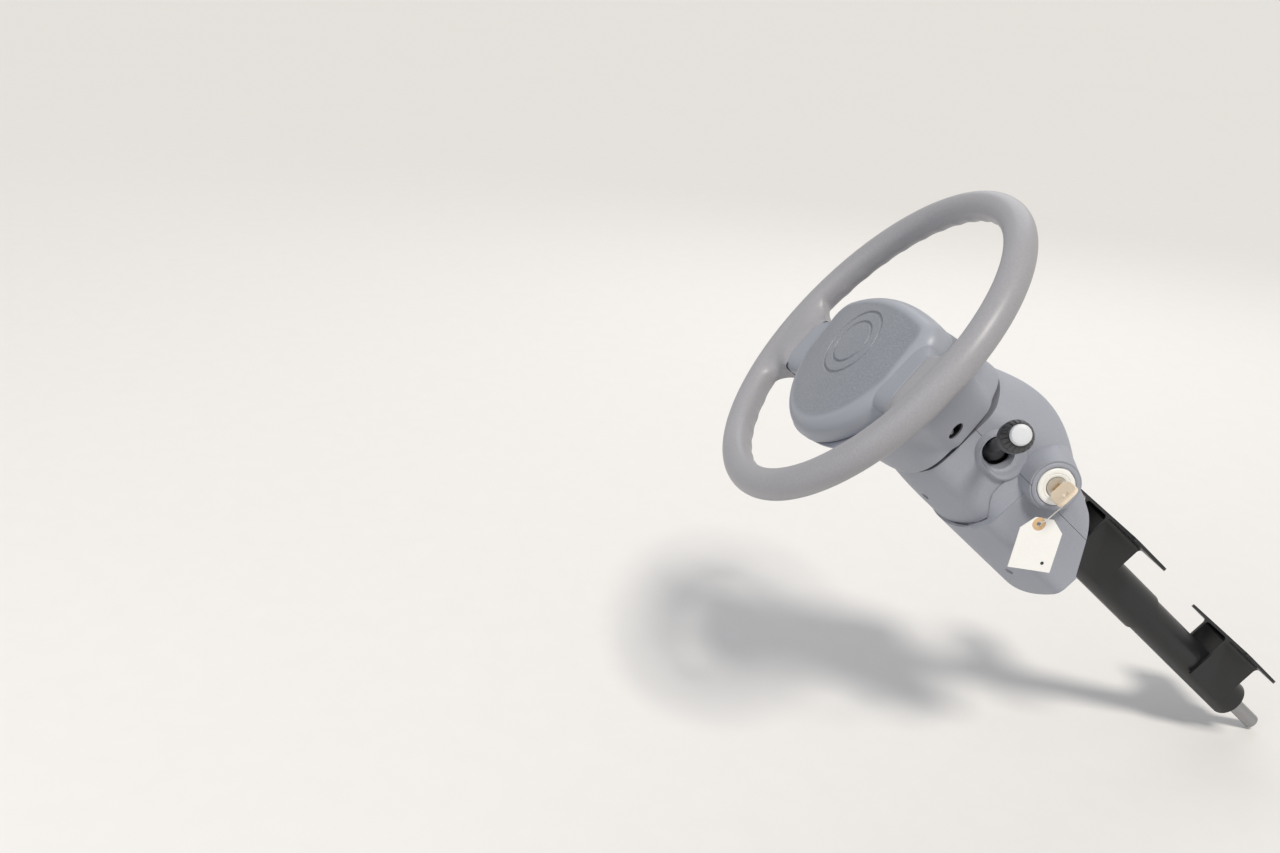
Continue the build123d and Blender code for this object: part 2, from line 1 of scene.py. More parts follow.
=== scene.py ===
"""Steering wheel and column of a small cab-over truck, dressed around its fixed frame.

Lengths in the classes are millimetres of the column frame: x to the right, y towards twelve o'clock, z up the
column to the driver, with the origin at the centre of the rim. Pieces of the wheel are drawn in the same frame
turned with the wheel. A side is 1 on the right and -1 on the left.
"""

import sys

import logging
import math
from dataclasses import dataclass
from enum import Enum
from typing import Callable

import bmesh
import bpy
from mathutils import Matrix, Vector

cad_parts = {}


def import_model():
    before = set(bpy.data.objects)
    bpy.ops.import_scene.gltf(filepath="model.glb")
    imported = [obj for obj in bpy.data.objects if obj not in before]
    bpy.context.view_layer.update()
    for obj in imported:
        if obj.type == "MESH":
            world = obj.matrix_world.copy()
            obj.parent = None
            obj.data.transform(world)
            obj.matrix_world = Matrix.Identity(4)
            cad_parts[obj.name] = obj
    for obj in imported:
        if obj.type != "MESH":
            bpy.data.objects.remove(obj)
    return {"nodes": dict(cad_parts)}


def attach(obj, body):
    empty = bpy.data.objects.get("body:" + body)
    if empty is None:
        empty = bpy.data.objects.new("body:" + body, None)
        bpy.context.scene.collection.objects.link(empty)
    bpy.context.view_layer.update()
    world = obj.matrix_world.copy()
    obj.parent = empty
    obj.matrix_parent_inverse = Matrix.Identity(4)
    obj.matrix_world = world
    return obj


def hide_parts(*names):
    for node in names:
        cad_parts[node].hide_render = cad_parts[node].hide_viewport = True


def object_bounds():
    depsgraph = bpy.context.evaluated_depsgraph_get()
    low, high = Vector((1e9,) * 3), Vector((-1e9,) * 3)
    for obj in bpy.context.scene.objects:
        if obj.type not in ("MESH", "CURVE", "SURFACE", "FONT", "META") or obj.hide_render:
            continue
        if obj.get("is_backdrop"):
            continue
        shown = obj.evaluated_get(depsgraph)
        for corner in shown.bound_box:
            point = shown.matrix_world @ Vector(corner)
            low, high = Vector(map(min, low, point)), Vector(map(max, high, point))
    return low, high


LOG = logging.getLogger("steering")
MM = 0.001
# direction of twelve o'clock, in radians from the right
TOP = math.radians(90)
# distance within which vertices merge, in mm
WELD = 0.01

Piece = bpy.types.Object
Tree = bpy.types.NodeTree
Socket = bpy.types.NodeSocket
Loop = list[Vector]
Pair = tuple[float, float]
Triple = tuple[float, float, float]
Rows = tuple[tuple[float, ...], ...]
Element = bmesh.types.BMVert | bmesh.types.BMFace


class Body(Enum):
    """The two rigid bodies that pieces ride on."""

    WHEEL = "wheel"
    COLUMN = "column"


@dataclass(frozen=True)
class ColumnFrame:
    """Where the column stands in the shared frame.

    Args:
        tilt: Angle of the column above the horizon, in degrees.
        station: Distance from the rim's centre down to the upper bracket.
        lift: Distance from the column's axis up to the bracket's bolted face.
    """

    tilt: float = 41.5
    station: float = 330.0
    lift: float = 46.0

    @property
    def along(self) -> Vector:
        """Direction up the column, to the driver."""
        angle = math.radians(self.tilt)
        return Vector((0, -math.cos(angle), math.sin(angle)))

    @property
    def upward(self) -> Vector:
        """Direction from the column's axis to twelve o'clock."""
        angle = math.radians(self.tilt)
        return Vector((0, math.sin(angle), math.cos(angle)))

    @property
    def matrix(self) -> Matrix:
        """Places the column.

        Returns:
            Matrix from column millimetres to metres of the shared frame.
        """
        centre = (self.along * self.station - self.upward * self.lift) * MM
        turn = Matrix((Vector((1, 0, 0)), self.upward, self.along)).transposed()
        return Matrix.Translation(centre) @ turn.to_4x4() @ Matrix.Scale(MM, 4)


COLUMN = ColumnFrame()


def wheel_matrix(turn: float = 11.0) -> Matrix:
    """Matrix of the wheel's own frame, whose right side stands up by a turn in degrees."""
    return COLUMN.matrix @ Matrix.Rotation(math.radians(turn), 4, "Z")


def turns(count: int, start: float = 0.0) -> list[float]:
    """Equal steps once round a circle from a start, in radians."""
    return [start + 2 * math.pi * k / count for k in range(count)]


def hand(side: int) -> str:
    """Word for a side, for a piece's name."""
    return "right" if side > 0 else "left"


def squared(value: float, power: float) -> float:
    """Power of a number that keeps its sign; a power below 1 squares a round section off."""
    return math.copysign(abs(value) ** power, value)


def superellipse(across: float, rise: float, half_width: float, half_height: float, power: float) -> float:
    """Distance from a superellipse's middle to its edge in one direction.

    Args:
        across: The direction's share to the right.
        rise: The direction's share upwards.
        half_width: Half of the superellipse's width.
        half_height: Half of its height.
        power: 2 for an ellipse, more for a squarer one.

    Returns:
        The distance.
    """
    return (abs(across / half_width) ** power + abs(rise / half_height) ** power) ** (-1 / power)


def linear(colour: str) -> tuple[float, float, float, float]:
    """Turns an sRGB hex colour, a hash and six digits, into linear RGBA from 0 to 1."""
    parts = [int(colour[i:i + 2], 16) / 255 for i in (1, 3, 5)]
    return (*[c / 12.92 if c <= 0.04045 else ((c + 0.055) / 1.055) ** 2.4 for c in parts], 1.0)


def add_node(tree: Tree, kind: str, settings: dict | None = None, links: dict | None = None) -> bpy.types.Node:
    """Adds one shader node.

    Args:
        tree: The material's tree.
        kind: The node's type, without its ShaderNode prefix.
        settings: Values by input name, input number or attribute.
        links: Sockets that feed inputs, by input name or number.

    Returns:
        The new node.
    """
    node = tree.nodes.new("ShaderNode" + kind)
    for name, value in (settings or {}).items():
        if isinstance(name, str) and hasattr(node, name):
            setattr(node, name, value)
        else:
            node.inputs[name].default_value = value
    for name, socket in (links or {}).items():
        tree.links.new(socket, node.inputs[name])
    return node


@dataclass(frozen=True)
class Finish:
    """One real finish, from which a material is made.

    Args:
        name: The material's plain name.
        colour: Main colour, sRGB hex.
        shade: Second colour, sRGB hex: the material's own slow drift, and painted shade in the grain's valleys.
        roughness: Roughness of the clean surface.
        drift: Width of the colour's slow patches.
        grain: Width of one grain.
        depth: Height of the grain.
        metallic: 1 for bare metal.
        ior: Index of refraction where it isn't metal.
        valley: Heights of the grain between which the painted shade of the valleys fades out.
        valley_shade: Share of the second colour in the valleys.
        drift_share: Share of the second colour in the slow patches.
        spread: How far the roughness swings to each side with the grain.
    """

    name: str
    colour: str
    shade: str
    roughness: float = 0.5
    drift: float = 60.0
    grain: float = 1.5
    depth: float = 0.05
    metallic: float = 0.0
    ior: float = 1.5
    valley: Pair = (0.35, 0.75)
    valley_shade: float = 0.55
    drift_share: float = 0.5
    spread: float = 0.06

    def tone(self, tree: Tree, place: Socket, height: Socket) -> Socket:
        """Drifts slowly towards the second colour, and paints it into the grain's valleys as painted shade.

        Args:
            tree: The material's tree.
            place: Coordinates, in metres.
            height: Height of the grain.

        Returns:
            The colour.
        """
        drift = add_node(tree, "TexNoise", {"Scale": 1 / (self.drift * MM), "Detail": 4.0}, {"Vector": place})
        # painted shade: the second colour darkens the grain's valleys, where shade would fall in the hollows
        valley = add_node(tree, "MapRange", {"From Min": self.valley[0], "From Max": self.valley[1],
                                             "To Min": self.valley_shade, "To Max": 0.0}, {"Value": height})
        share = add_node(tree, "Math", {"operation": "MULTIPLY_ADD", 1: self.drift_share},
                         {0: drift.outputs[0], 2: valley.outputs[0]})
        return add_node(tree, "Mix", {"data_type": "RGBA", 6: linear(self.colour), 7: linear(self.shade)},
                        {0: share.outputs[0]}).outputs[2]

    def relief(self, tree: Tree, place: Socket) -> Socket:
        """Height of the surface's grain, from 0 to 1, at coordinates in metres."""
        return add_node(tree, "TexNoise", {"Scale": 1 / (self.grain * MM), "Detail": 3.0, "Roughness": 0.6},
                        {"Vector": place}).outputs[0]

    def shared(self) -> bpy.types.Material:
        """The finish's one material, built when it is first asked for."""
        return bpy.data.materials.get(self.name) or self.material()

    def material(self) -> bpy.types.Material:
        """Builds the material.

        Returns:
            The finished material.
        """
        material = bpy.data.materials.new(self.name)
        material.use_nodes = True
        material.diffuse_color = linear(self.colour)
        tree = material.node_tree
        shader = tree.nodes["Principled BSDF"].inputs
        shader["Metallic"].default_value = self.metallic
        if not self.metallic:
            shader["IOR"].default_value = self.ior
        place = add_node(tree, "TexCoord").outputs["Object"]
        height = self.relief(tree, place)
        tree.links.new(self.tone(tree, place, height), shader["Base Color"])
        rough = add_node(tree, "MapRange", {"To Min": self.roughness - self.spread,
                                            "To Max": self.roughness + self.spread}, {"Value": height})
        tree.links.new(rough.outputs[0], shader["Roughness"])
        bump = add_node(tree, "Bump", {"Distance": self.depth * MM, "Strength": 1.0}, {"Height": height})
        tree.links.new(bump.outputs[0], shader["Normal"])
        return material


@dataclass(frozen=True)
class PressedSkin(Finish):
    """Skin that has a leather grain only where the piece's "grained" attribute is 1.

    Args:
        plain: Colour of the part without grain, sRGB hex.
        warp: Width of the bends in the rows of pebbles, in grains.
        pebble: Distance from a pebble's middle to the bottom of its valley, in grains.
    """

    plain: str = "#9a9ea6"
    warp: float = 2.5
    pebble: float = 0.75

    def tone(self, tree: Tree, place: Socket, height: Socket) -> Socket:
        """Keeps the drifting colour and the painted shade in the valleys to the grained part."""
        mask = add_node(tree, "Attribute", {"attribute_name": "grained"})
        return add_node(tree, "Mix", {"data_type": "RGBA", 6: linear(self.plain)},
                        {0: mask.outputs["Fac"], 7: super().tone(tree, place, height)}).outputs[2]

    def relief(self, tree: Tree, place: Socket) -> Socket:
        """Raises the pebbles of the leather grain, warped so that no two are alike.

        Args:
            tree: The material's tree.
            place: Coordinates, in metres.

        Returns:
            The height, from 0 to 1.
        """
        grain = self.grain * MM
        warp = add_node(tree, "TexNoise", {"Scale": 1 / (self.warp * self.grain * MM), "Detail": 2.0},
                        {"Vector": place})
        swing = add_node(tree, "VectorMath", {"operation": "SCALE", "Scale": grain}, {0: warp.outputs["Color"]})
        moved = add_node(tree, "VectorMath", {"operation": "ADD"}, {0: place, 1: swing.outputs[0]})
        pebbles = add_node(tree, "TexVoronoi", {"Scale": 1 / grain}, {"Vector": moved.outputs[0]})
        mask = add_node(tree, "Attribute", {"attribute_name": "grained"})
        height = add_node(tree, "MapRange", {"From Max": self.pebble, "To Min": 1.0, "To Max": 0.0},
                          {"Value": pebbles.outputs["Distance"]})
        return add_node(tree, "Math", {"operation": "MULTIPLY"},
                        {0: height.outputs[0], 1: mask.outputs["Fac"]}).outputs[0]


# Each finish's second colour also darkens its grain's valleys as painted shade.
# Integral-skin polyurethane foam: matt, warm grey, with a faint stipple from the mould.
GRIP_SKIN = Finish("grip_skin", "#a3a2a5", "#919094", roughness=0.4, grain=1.6, depth=0.04)
# Soft vinyl skin, leather grain pressed in by the mould; the real grain is 1 mm, drawn at 2.4 mm to show.
PAD_SKIN = PressedSkin("pad_skin", "#94989f", "#7d8189", roughness=0.46, grain=2.4, depth=0.32)
# The same vinyl without grain, on the flanks and wings: even, with a soft sheen.
SMOOTH_SKIN = Finish("smooth_skin", "#9a9ea6", "#8f939c", roughness=0.44, grain=1.2, depth=0.02)
# Moulded ABS with a fine spark-eroded texture: an even satin grey.
COVER_ABS = Finish("cover_abs", "#a2a5ae", "#93969f", roughness=0.52, grain=1.3, depth=0.05)
# Moulded glass-filled nylon, black and matt.
BLACK_NYLON = Finish("black_nylon", "#2b2d30", "#333538", roughness=0.48, grain=1.4, depth=0.04)
# Moulded light grey polypropylene of the knobs' ends: smooth and a little waxy.
PALE_CAP = Finish("pale_cap", "#d4d6d8", "#cbcdd0", roughness=0.42, grain=1.2, depth=0.02)
# Black electro-dip paint on pressed steel: smooth, half gloss.
BLACK_PAINT = Finish("black_paint", "#17181a", "#1e1f21", roughness=0.34, grain=2.5, depth=0.02)
# Turned mild steel, bright with a fine tool grain.
TURNED_STEEL = Finish("turned_steel", "#a9a9ab", "#9b9b9d", roughness=0.3, metallic=1.0, grain=0.8, depth=0.01)
# Zinc-plated steel screws, paler and brighter than bare steel.
ZINC_SCREW = Finish("zinc_screw", "#c3c4c6", "#b2b3b5", roughness=0.28, metallic=1.0, grain=0.6, depth=0.01)
# Die-cast aluminium, as cast: dull and faintly pebbled.
CAST_ALLOY = Finish("cast_alloy", "#9ea0a2", "#929496", roughness=0.5, metallic=1.0, grain=1.0, depth=0.05)
# Moulded cream ABS of the lock's ring, with some gloss.
CREAM_ABS = Finish("cream_abs", "#f2f1ee", "#edece7", roughness=0.32, grain=1.2, depth=0.02)
# Nickel-plated rotor, a warm white metal gone dull with use.
NICKEL = Finish("nickel", "#dedcd7", "#d3d1cc", roughness=0.42, metallic=1.0, grain=0.8, depth=0.01)
# Brass key blank, rubbed to a soft shine.
KEY_BRASS = Finish("key_brass", "#cda878", "#c09a68", roughness=0.34, metallic=1.0, grain=1.0, depth=0.02)
# Tan nylon head moulded over the key: satin, a little uneven.
TAN_HEAD = Finish("tan_head", "#f2e3cd", "#e4cfb3", roughness=0.4, grain=1.5, depth=0.03)
# Uncoated cream card, quite matt.
TAG_CARD = Finish("tag_card", "#f7f7f4", "#efede8", roughness=0.85, grain=1.2, depth=0.04)
# Tan gummed patch that keeps the hole from tearing, matt.
TAN_PATCH = Finish("tan_patch", "#d9b98f", "#cfae84", roughness=0.8, grain=1.0, depth=0.03)
# White cotton string, without any shine.
WHITE_COTTON = Finish("white_cotton", "#e8e6e0", "#d8d6cf", roughness=0.9, grain=0.8, depth=0.08)
# Pale paper roll on the studio's floor.
FLOOR_PAPER = Finish("floor_paper", "#e4e2df", "#e1dfdc", roughness=0.9, drift=900, grain=40, depth=0.0)

NODE_FINISHES = {
    GRIP_SKIN: ("wheel_rim",),
    PAD_SKIN: ("hub_pad",),
    COVER_ABS: ("rear_hub_cover", "upper_cover", "lower_cover"),
    BLACK_NYLON: ("switch_body", "spiral_housing", "right_stalk", "left_stalk", "right_knob", "left_knob"),
    BLACK_PAINT: ("column_tube", "lower_tube", "upper_bracket", "lower_bracket"),
    TURNED_STEEL: ("steering_shaft", "shaft_nut", "upper_bearing", "lower_bearing"),
    CAST_ALLOY: ("hub_armature", "lock_housing"),
    CREAM_ABS: ("lock_bezel",),
    NICKEL: ("lock_rotor",),
    KEY_BRASS: ("key",),
    TAG_CARD: ("key_tag",),
    WHITE_COTTON: ("tag_string",),
}


@dataclass(frozen=True)
class Outline:
    """Closed outline across an axis: an arched top and bottom joined by round corners.

    Args:
        half: Half of the width.
        top: Height of the top's middle.
        bottom: Height of the bottom's middle.
        corner: Radius of the corners.
        upper: Height of the upper corners' centres.
        lower: Height of the lower corners' centres.
    """

    half: float
    top: float
    bottom: float
    corner: float
    upper: float
    lower: float

    def inset(self, depth: float) -> "Outline":
        """Same outline drawn in by a depth."""
        return Outline(self.half - depth, self.top - depth, self.bottom + depth, self.corner - depth,
                       self.upper, self.lower)

    def arch(self, height: float, centre: float) -> float:
        """Radius of the arch that meets the corners on both sides at a tangent."""
        rise = centre - height
        return (self.corner ** 2 - (self.half - self.corner) ** 2 - rise ** 2) / (2 * (rise + self.corner))

    def point(self, angle: float) -> Vector:
        """Point whose outward normal has an angle.

        Args:
            angle: Angle from the right, in radians.

        Returns:
            The point, flat.
        """
        normal = Vector((math.cos(angle), math.sin(angle)))
        high = normal.y >= 0
        peak = self.top if high else -self.bottom
        radius = self.arch(peak, self.upper if high else -self.lower)
        if abs(normal.x) < (self.half - self.corner) / (radius - self.corner):
            flip = 1 if high else -1
            return Vector((radius * normal.x, flip * (peak - radius) + radius * normal.y))
        side = 1 if normal.x >= 0 else -1
        return Vector((side * (self.half - self.corner), self.upper if high else self.lower)) + normal * self.corner

    def loop(self, count: int) -> Loop:
        """Points round the outline, in the order of a new circle's vertices."""
        return [self.point(angle) for angle in turns(count, TOP)]


@dataclass(frozen=True)
class Ribs:
    """Grooves along a turned piece.

    Args:
        low: Height that they start above.
        high: Height that they end below.
        depth: Their depth.
        pitch: Facets from one groove to the next.
    """

    low: float
    high: float
    depth: float
    pitch: int = 4


@dataclass(frozen=True)
class PanHead:
    """Pan-head screw with a cross recess.

    Args:
        radius: Radius of the head.
        height: Height of the head, in radii.
        profile: Height and radius of the profile's points, in parts of the head's.
        recess: Length and width of the recess's arms in radii, and twice its depth in heights.
        facets: Facets round the head.
    """

    radius: float
    height: float = 0.62
    profile: Rows = ((0.0, 0.0), (0.0, 1.0), (0.35, 1.0), (0.75, 0.86), (0.95, 0.6), (1.0, 0.3), (1.0, 0.0))
    recess: Triple = (1.15, 0.26, 1.1)
    facets: int = 32


class Modeller:
    """What every sub-assembly shares: adding, shaping and finishing a piece by operators.

    Args:
        body: The body that its pieces ride on.
    """

    body: Body = Body.COLUMN

    @property
    def frame(self) -> Matrix:
        """Matrix from the millimetres of the sub-assembly's body to the shared frame."""
        return wheel_matrix() if self.body is Body.WHEEL else COLUMN.matrix

    def pick(self, piece: Piece) -> None:
        """Selects one piece and nothing else.

        Args:
            piece: The object.
        """
        bpy.ops.object.select_all(action="DESELECT")
        piece.select_set(True)
        bpy.context.view_layer.objects.active = piece

    def edit(self, piece: Piece) -> None:
        """Opens a piece in edit mode with nothing selected.

        Args:
            piece: The object.
        """
        self.pick(piece)
        bpy.ops.object.mode_set(mode="EDIT")
        bpy.ops.mesh.select_mode(type="VERT")
        bpy.ops.mesh.select_all(action="DESELECT")

    def leave(self) -> None:
        """Leaves edit mode."""
        bpy.ops.object.mode_set(mode="OBJECT")

    def choose(self, piece: Piece, kind: str, test: Callable[[Element], bool]) -> None:
        """Selects vertices or faces by a test and nothing else.

        Args:
            piece: The object in edit mode.
            kind: VERT or FACE.
            test: Says whether one is taken.
        """
        bpy.ops.mesh.select_all(action="DESELECT")
        bpy.ops.mesh.select_mode(type=kind)
        mesh = bmesh.from_edit_mesh(piece.data)
        for element in mesh.verts if kind == "VERT" else mesh.faces:
            if test(element):
                element.select_set(True)
        mesh.select_flush_mode()
        bmesh.update_edit_mesh(piece.data)

    def weld(self) -> None:
        """Merges the doubles of the mesh in edit mode and turns its faces outwards."""
        bpy.ops.mesh.select_all(action="SELECT")
        bpy.ops.mesh.remove_doubles(threshold=WELD)
        bpy.ops.mesh.normals_make_consistent(inside=False)

    def skin(self, name: str, loops: list[Loop], closed: tuple[bool, bool] = (False, False),
             round_trip: bool = False) -> Piece:
        """Draws a circle through a row of loops and lays each on its place.

        Args:
            name: The piece's name.
            loops: Loops of equal length, from one end to the other.
            closed: Whether the first and the last loop are filled.
            round_trip: Whether the last loop joins the first.

        Returns:
            The new object.
        """
        count = len(loops[0])
        bpy.ops.object.select_all(action="DESELECT")
        bpy.ops.mesh.primitive_circle_add(vertices=count, radius=1.0)
        piece = bpy.context.object
        piece.name = name
        piece.data.name = name
        self.edit(piece)
        bpy.ops.mesh.select_all(action="SELECT")
        for _ in loops[1:]:
            bpy.ops.mesh.extrude_region_move()
        self.leave()
        for vertex, place in zip(piece.data.vertices, [place for loop in loops for place in loop]):
            vertex.co = place
        self.edit(piece)
        last = count * (len(loops) - 1)
        for end, wanted in zip((0, last), closed):
            if wanted:
                self.choose(piece, "VERT", lambda v, end=end: end <= v.index < end + count)
                bpy.ops.mesh.edge_face_add()
        if round_trip:
            self.choose(piece, "VERT", lambda v: v.index < count or v.index >= last)
            bpy.ops.mesh.bridge_edge_loops()
        self.weld()
        self.leave()
        return piece

    def lathe(self, name: str, profile: Rows, count: int, ribs: Ribs | None = None) -> Piece:
        """Turns a profile round the z axis.

        Args:
            name: The piece's name.
            profile: Height and radius of each point; a radius of 0 closes an end.
            count: Facets round the axis.
            ribs: The grooves cut along it.

        Returns:
            The new object.
        """
        ring = profile[0] == profile[-1]
        loops = []
        for height, radius in profile[:-1] if ring else profile:
            if radius == 0.0:
                continue
            ribbed = ribs and ribs.low < height < ribs.high
            reaches = [radius - ribs.depth if ribbed and k % ribs.pitch == 0 else radius for k in range(count)]
            loops.append([Vector((reach * math.cos(turn), reach * math.sin(turn), height))
                          for reach, turn in zip(reaches, turns(count))])
        return self.skin(name, loops, (profile[0][1] == 0.0, profile[-1][1] == 0.0), ring)

    def modify(self, piece: Piece, kind: str, **settings: object) -> None:
        """Adds a modifier and applies it.

        Args:
            piece: The object.
            kind: The modifier's type.
            settings: Its attributes.
        """
        bpy.context.view_layer.objects.active = piece
        modifier = piece.modifiers.new(kind.lower(), kind)
        for name, value in settings.items():
            setattr(modifier, name, value)
        bpy.ops.object.modifier_apply(modifier=modifier.name)

    def subdivide(self, piece: Piece, levels: int) -> None:
        """Rounds a piece by subdivision."""
        self.modify(piece, "SUBSURF", levels=levels, render_levels=levels)

    def thicken(self, piece: Piece, wall: float) -> None:
        """Gives a skin its wall, on the inside."""
        self.modify(piece, "SOLIDIFY", thickness=wall, offset=-1.0)

    def cut(self, piece: Piece, cutter: Piece) -> None:
        """Takes a cutter's solid out of a piece."""
        self.modify(piece, "BOOLEAN", operation="DIFFERENCE", object=cutter, solver="EXACT")
        bpy.data.objects.remove(cutter)

    def screw(self, name: str, head: PanHead) -> Piece:
        """Models a screw's head, its seat at the origin.

        Args:
            name: The piece's name.
            head: Its shape.

        Returns:
            The screw.
        """
        radius, height = head.radius, head.height * head.radius
        screw = self.lathe(name, tuple((h * height, r * radius) for h, r in head.profile), head.facets)
        length, width, depth = head.recess
        for turn in (0.0, math.pi / 2):
            bpy.ops.object.select_all(action="DESELECT")
            bpy.ops.mesh.primitive_cube_add(size=1.0, location=(0, 0, height), rotation=(0, 0, turn))
            cutter = bpy.context.object
            cutter.scale = (length * radius, width * radius, depth * height)
            bpy.ops.object.transform_apply(location=True, rotation=True, scale=True)
            self.cut(screw, cutter)
        return screw

    def settle(self, piece: Piece, finish: Finish, slot: str, replaces: tuple[str, ...] = (),
               place: Matrix | None = None, smooth: float = 40.0) -> None:
        """Puts a finished piece in its place and on its body.

        Args:
            piece: The object, modelled in millimetres.
            finish: Its finish.
            slot: Not used.
            replaces: The frame's nodes that it stands for.
            place: Matrix from its millimetres to the shared frame, if these aren't its body's.
            smooth: Angle up to which its faces shade smoothly, in degrees.
        """
        self.pick(piece)
        piece.matrix_world = self.frame if place is None else place
        bpy.ops.object.transform_apply(location=True, rotation=True, scale=True)
        bpy.ops.object.shade_smooth_by_angle(angle=math.radians(smooth))
        piece.data.materials.clear()
        piece.data.materials.append(finish.shared())
        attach(piece, self.body.value)
        if replaces:
            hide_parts(*replaces)
        LOG.info("%s on %s: %d faces", piece.name, self.body.value, len(piece.data.polygons))


@dataclass
class Rim(Modeller):
    """Rim and spokes, one moulding of skinned foam.

    Args:
        body: The body that it rides on.
        radius: Radius of the grip's middle.
        grip: Radius of the grip's section.
        steps: Sections round the rim.
        section: Radius at each of the section's vertices in parts of the grip's, with a soft crest on the inner
            front side and a slightly flat inner side.
        swell: How much larger the grip is drawn, because subdivision draws it in.
        wave: Height of the finger waves.
        wave_pitch: Sections from one wave to the next.
        wave_half: Half of a crest's length, in pitches.
        wave_start: How far inside and how far behind the grip's middle the waves begin.
        spoke_middle: Height of the spokes' middle.
        spoke_root: Distance out at which the spokes start.
        spoke_half_angle: Half of the angle that a spoke takes up on the rim, in degrees.
        spoke_arc: Angles of the section between which a spoke leaves it, in degrees.
        spoke_steps: For each step inwards how far the spoke's end is flattened, narrowed and deepened, and the
            distance out that it flattens to.
        root_stretch: Height that a spoke deepens away from.
        front_limits: How far inside the grip a spoke's front ends, how far inside the root it starts, and the
            height that it lies above.
        crowning: Half height of a crowned front, its rise, its fall at that height, and the part of that height
            where the fall ends.
        wing_seat: Greatest height of the front under the pad's wing, the seat's length, and the slope past it.
    """

    body: Body = Body.WHEEL
    radius: float = 171.5
    grip: float = 14.5
    steps: int = 160
    section: tuple[float, ...] = (1.0, 1.0, 1.0, 1.0, 1.0, 1.03, 1.06, 1.02, 0.98, 0.975, 0.98,
                                  1.0, 1.0, 1.0, 1.0, 1.0)
    swell: float = 1.026
    wave: float = 1.1
    wave_pitch: int = 4
    wave_half: float = 0.15
    wave_start: Pair = (4.0, 2.0)
    spoke_middle: float = -25.0
    spoke_root: float = 119.5
    spoke_half_angle: float = 18.5
    spoke_arc: Pair = (140.0, 230.0)
    spoke_steps: Rows = ((0.55, 0.80, 1.12, 130.0), (0.2, 0.84, 1.12, 128.0), (0.0, 1.0, 1.06, 127.0),
                         (0.0, 1.0, 1.06, 119.5))
    root_stretch: float = 24.7
    front_limits: Triple = (3.0, 1.0, -8.0)
    crowning: tuple[float, float, float, float] = (31.0, 1.5, 6.5, 1.3)
    wing_seat: Triple = (2.4, 4.0, 0.9)

    def grip_ring(self) -> Piece:
        """Spins the grip's section round the axis.

        Returns:
            The ring, in edit mode.
        """
        centre = Vector((self.radius, 0, 0))
        count = len(self.section)
        bpy.ops.mesh.primitive_circle_add(vertices=count, radius=self.grip * self.swell, location=centre,
                                          rotation=(math.pi / 2, 0, 0))
        ring = bpy.context.object
        ring.name = "grip"
        bpy.ops.object.transform_apply(location=True, rotation=True, scale=True)
        for vertex in ring.data.vertices:
            arm = vertex.co - centre
            angle = math.degrees(math.atan2(arm.z, arm.x)) % 360
            vertex.co = centre + arm * self.section[round(angle / (360 / count)) % count]
        self.edit(ring)
        bpy.ops.mesh.select_all(action="SELECT")
        bpy.ops.mesh.spin(steps=self.steps, angle=2 * math.pi, center=(0, 0, 0), axis=(0, 0, 1))
        self.weld()
        return ring

    def on_spoke(self, place: Vector) -> bool:
        """Says whether a spoke leaves the rim at a place.

        Args:
            place: The place.

        Returns:
            True inside a spoke's angle.
        """
        side = 1 if place.x > 0 else -1
        middle = math.asin(self.spoke_middle / self.radius)
        angle = math.atan2(place.y, side * place.x)
        return abs(math.degrees(angle - middle)) < self.spoke_half_angle

    def finger_waves(self, ring: Piece) -> None:
        """Swells the rear inner side in soft waves for the fingers.

        Args:
            ring: The ring, in edit mode.
        """
        pitch = 2 * math.pi / self.steps * self.wave_pitch
        inside, behind = self.wave_start

        def crest(vertex: bmesh.types.BMVert) -> bool:
            """Says whether a vertex is on a wave's crest.

            Args:
                vertex: The vertex.

            Returns:
                True on a crest away from the spokes.
            """
            place = vertex.co.copy()
            turn = (math.atan2(place.y, place.x) / pitch) % 1
            rear_inner = math.hypot(place.x, place.y) < self.radius - inside and place.z < -behind
            return rear_inner and min(turn, 1 - turn) < self.wave_half and not self.on_spoke(place)

        self.choose(ring, "VERT", crest)
        bpy.ops.transform.shrink_fatten(value=self.wave)

    def spoke(self, ring: Piece, side: int) -> None:
        """Draws one spoke out of the ring's inner faces.

        Args:
            ring: The ring, in edit mode.
            side: Its side.
        """
        def inner(face: bmesh.types.BMFace) -> bool:
            """Says whether a face is one that the spoke grows from.

            Args:
                face: The face.

            Returns:
                True on the ring's inner side within the spoke's angle.
            """
            place = face.calc_center_median()
            distance = math.hypot(place.x, place.y)
            arm = math.degrees(math.atan2(place.z, distance - self.radius)) % 360
            return place.x * side > 0 and self.spoke_arc[0] < arm < self.spoke_arc[1] and self.on_spoke(place)

        self.choose(ring, "FACE", inner)
        for flatten, narrow, deepen, station in self.spoke_steps:
            bpy.ops.mesh.extrude_region_move()
            bpy.ops.transform.resize(value=(flatten, narrow, deepen),
                                     center_override=(side * station, self.spoke_middle, self.root_stretch))
        bpy.ops.mesh.delete(type="FACE")
        bpy.ops.mesh.select_all(action="DESELECT")

    def crown(self, ring: Piece) -> None:
        """Rounds the spokes' fronts off towards their upper and lower edges.

        Args:
            ring: The ring, in object mode.
        """
        inside, before, lowest = self.front_limits
        half, rise, fall, end = self.crowning
        seat, length, slope = self.wing_seat
        for vertex in ring.data.vertices:
            reach = abs(vertex.co.x)
            distance = math.hypot(vertex.co.x, vertex.co.y)
            if (distance < self.radius - self.grip - inside and reach > self.spoke_root - before
                    and vertex.co.z > lowest):
                off = abs(vertex.co.y - self.spoke_middle) / half
                vertex.co.z += rise - fall * min(off, end) ** 4
                vertex.co.z = min(vertex.co.z, seat + max(0.0, reach - self.spoke_root - length) * slope)

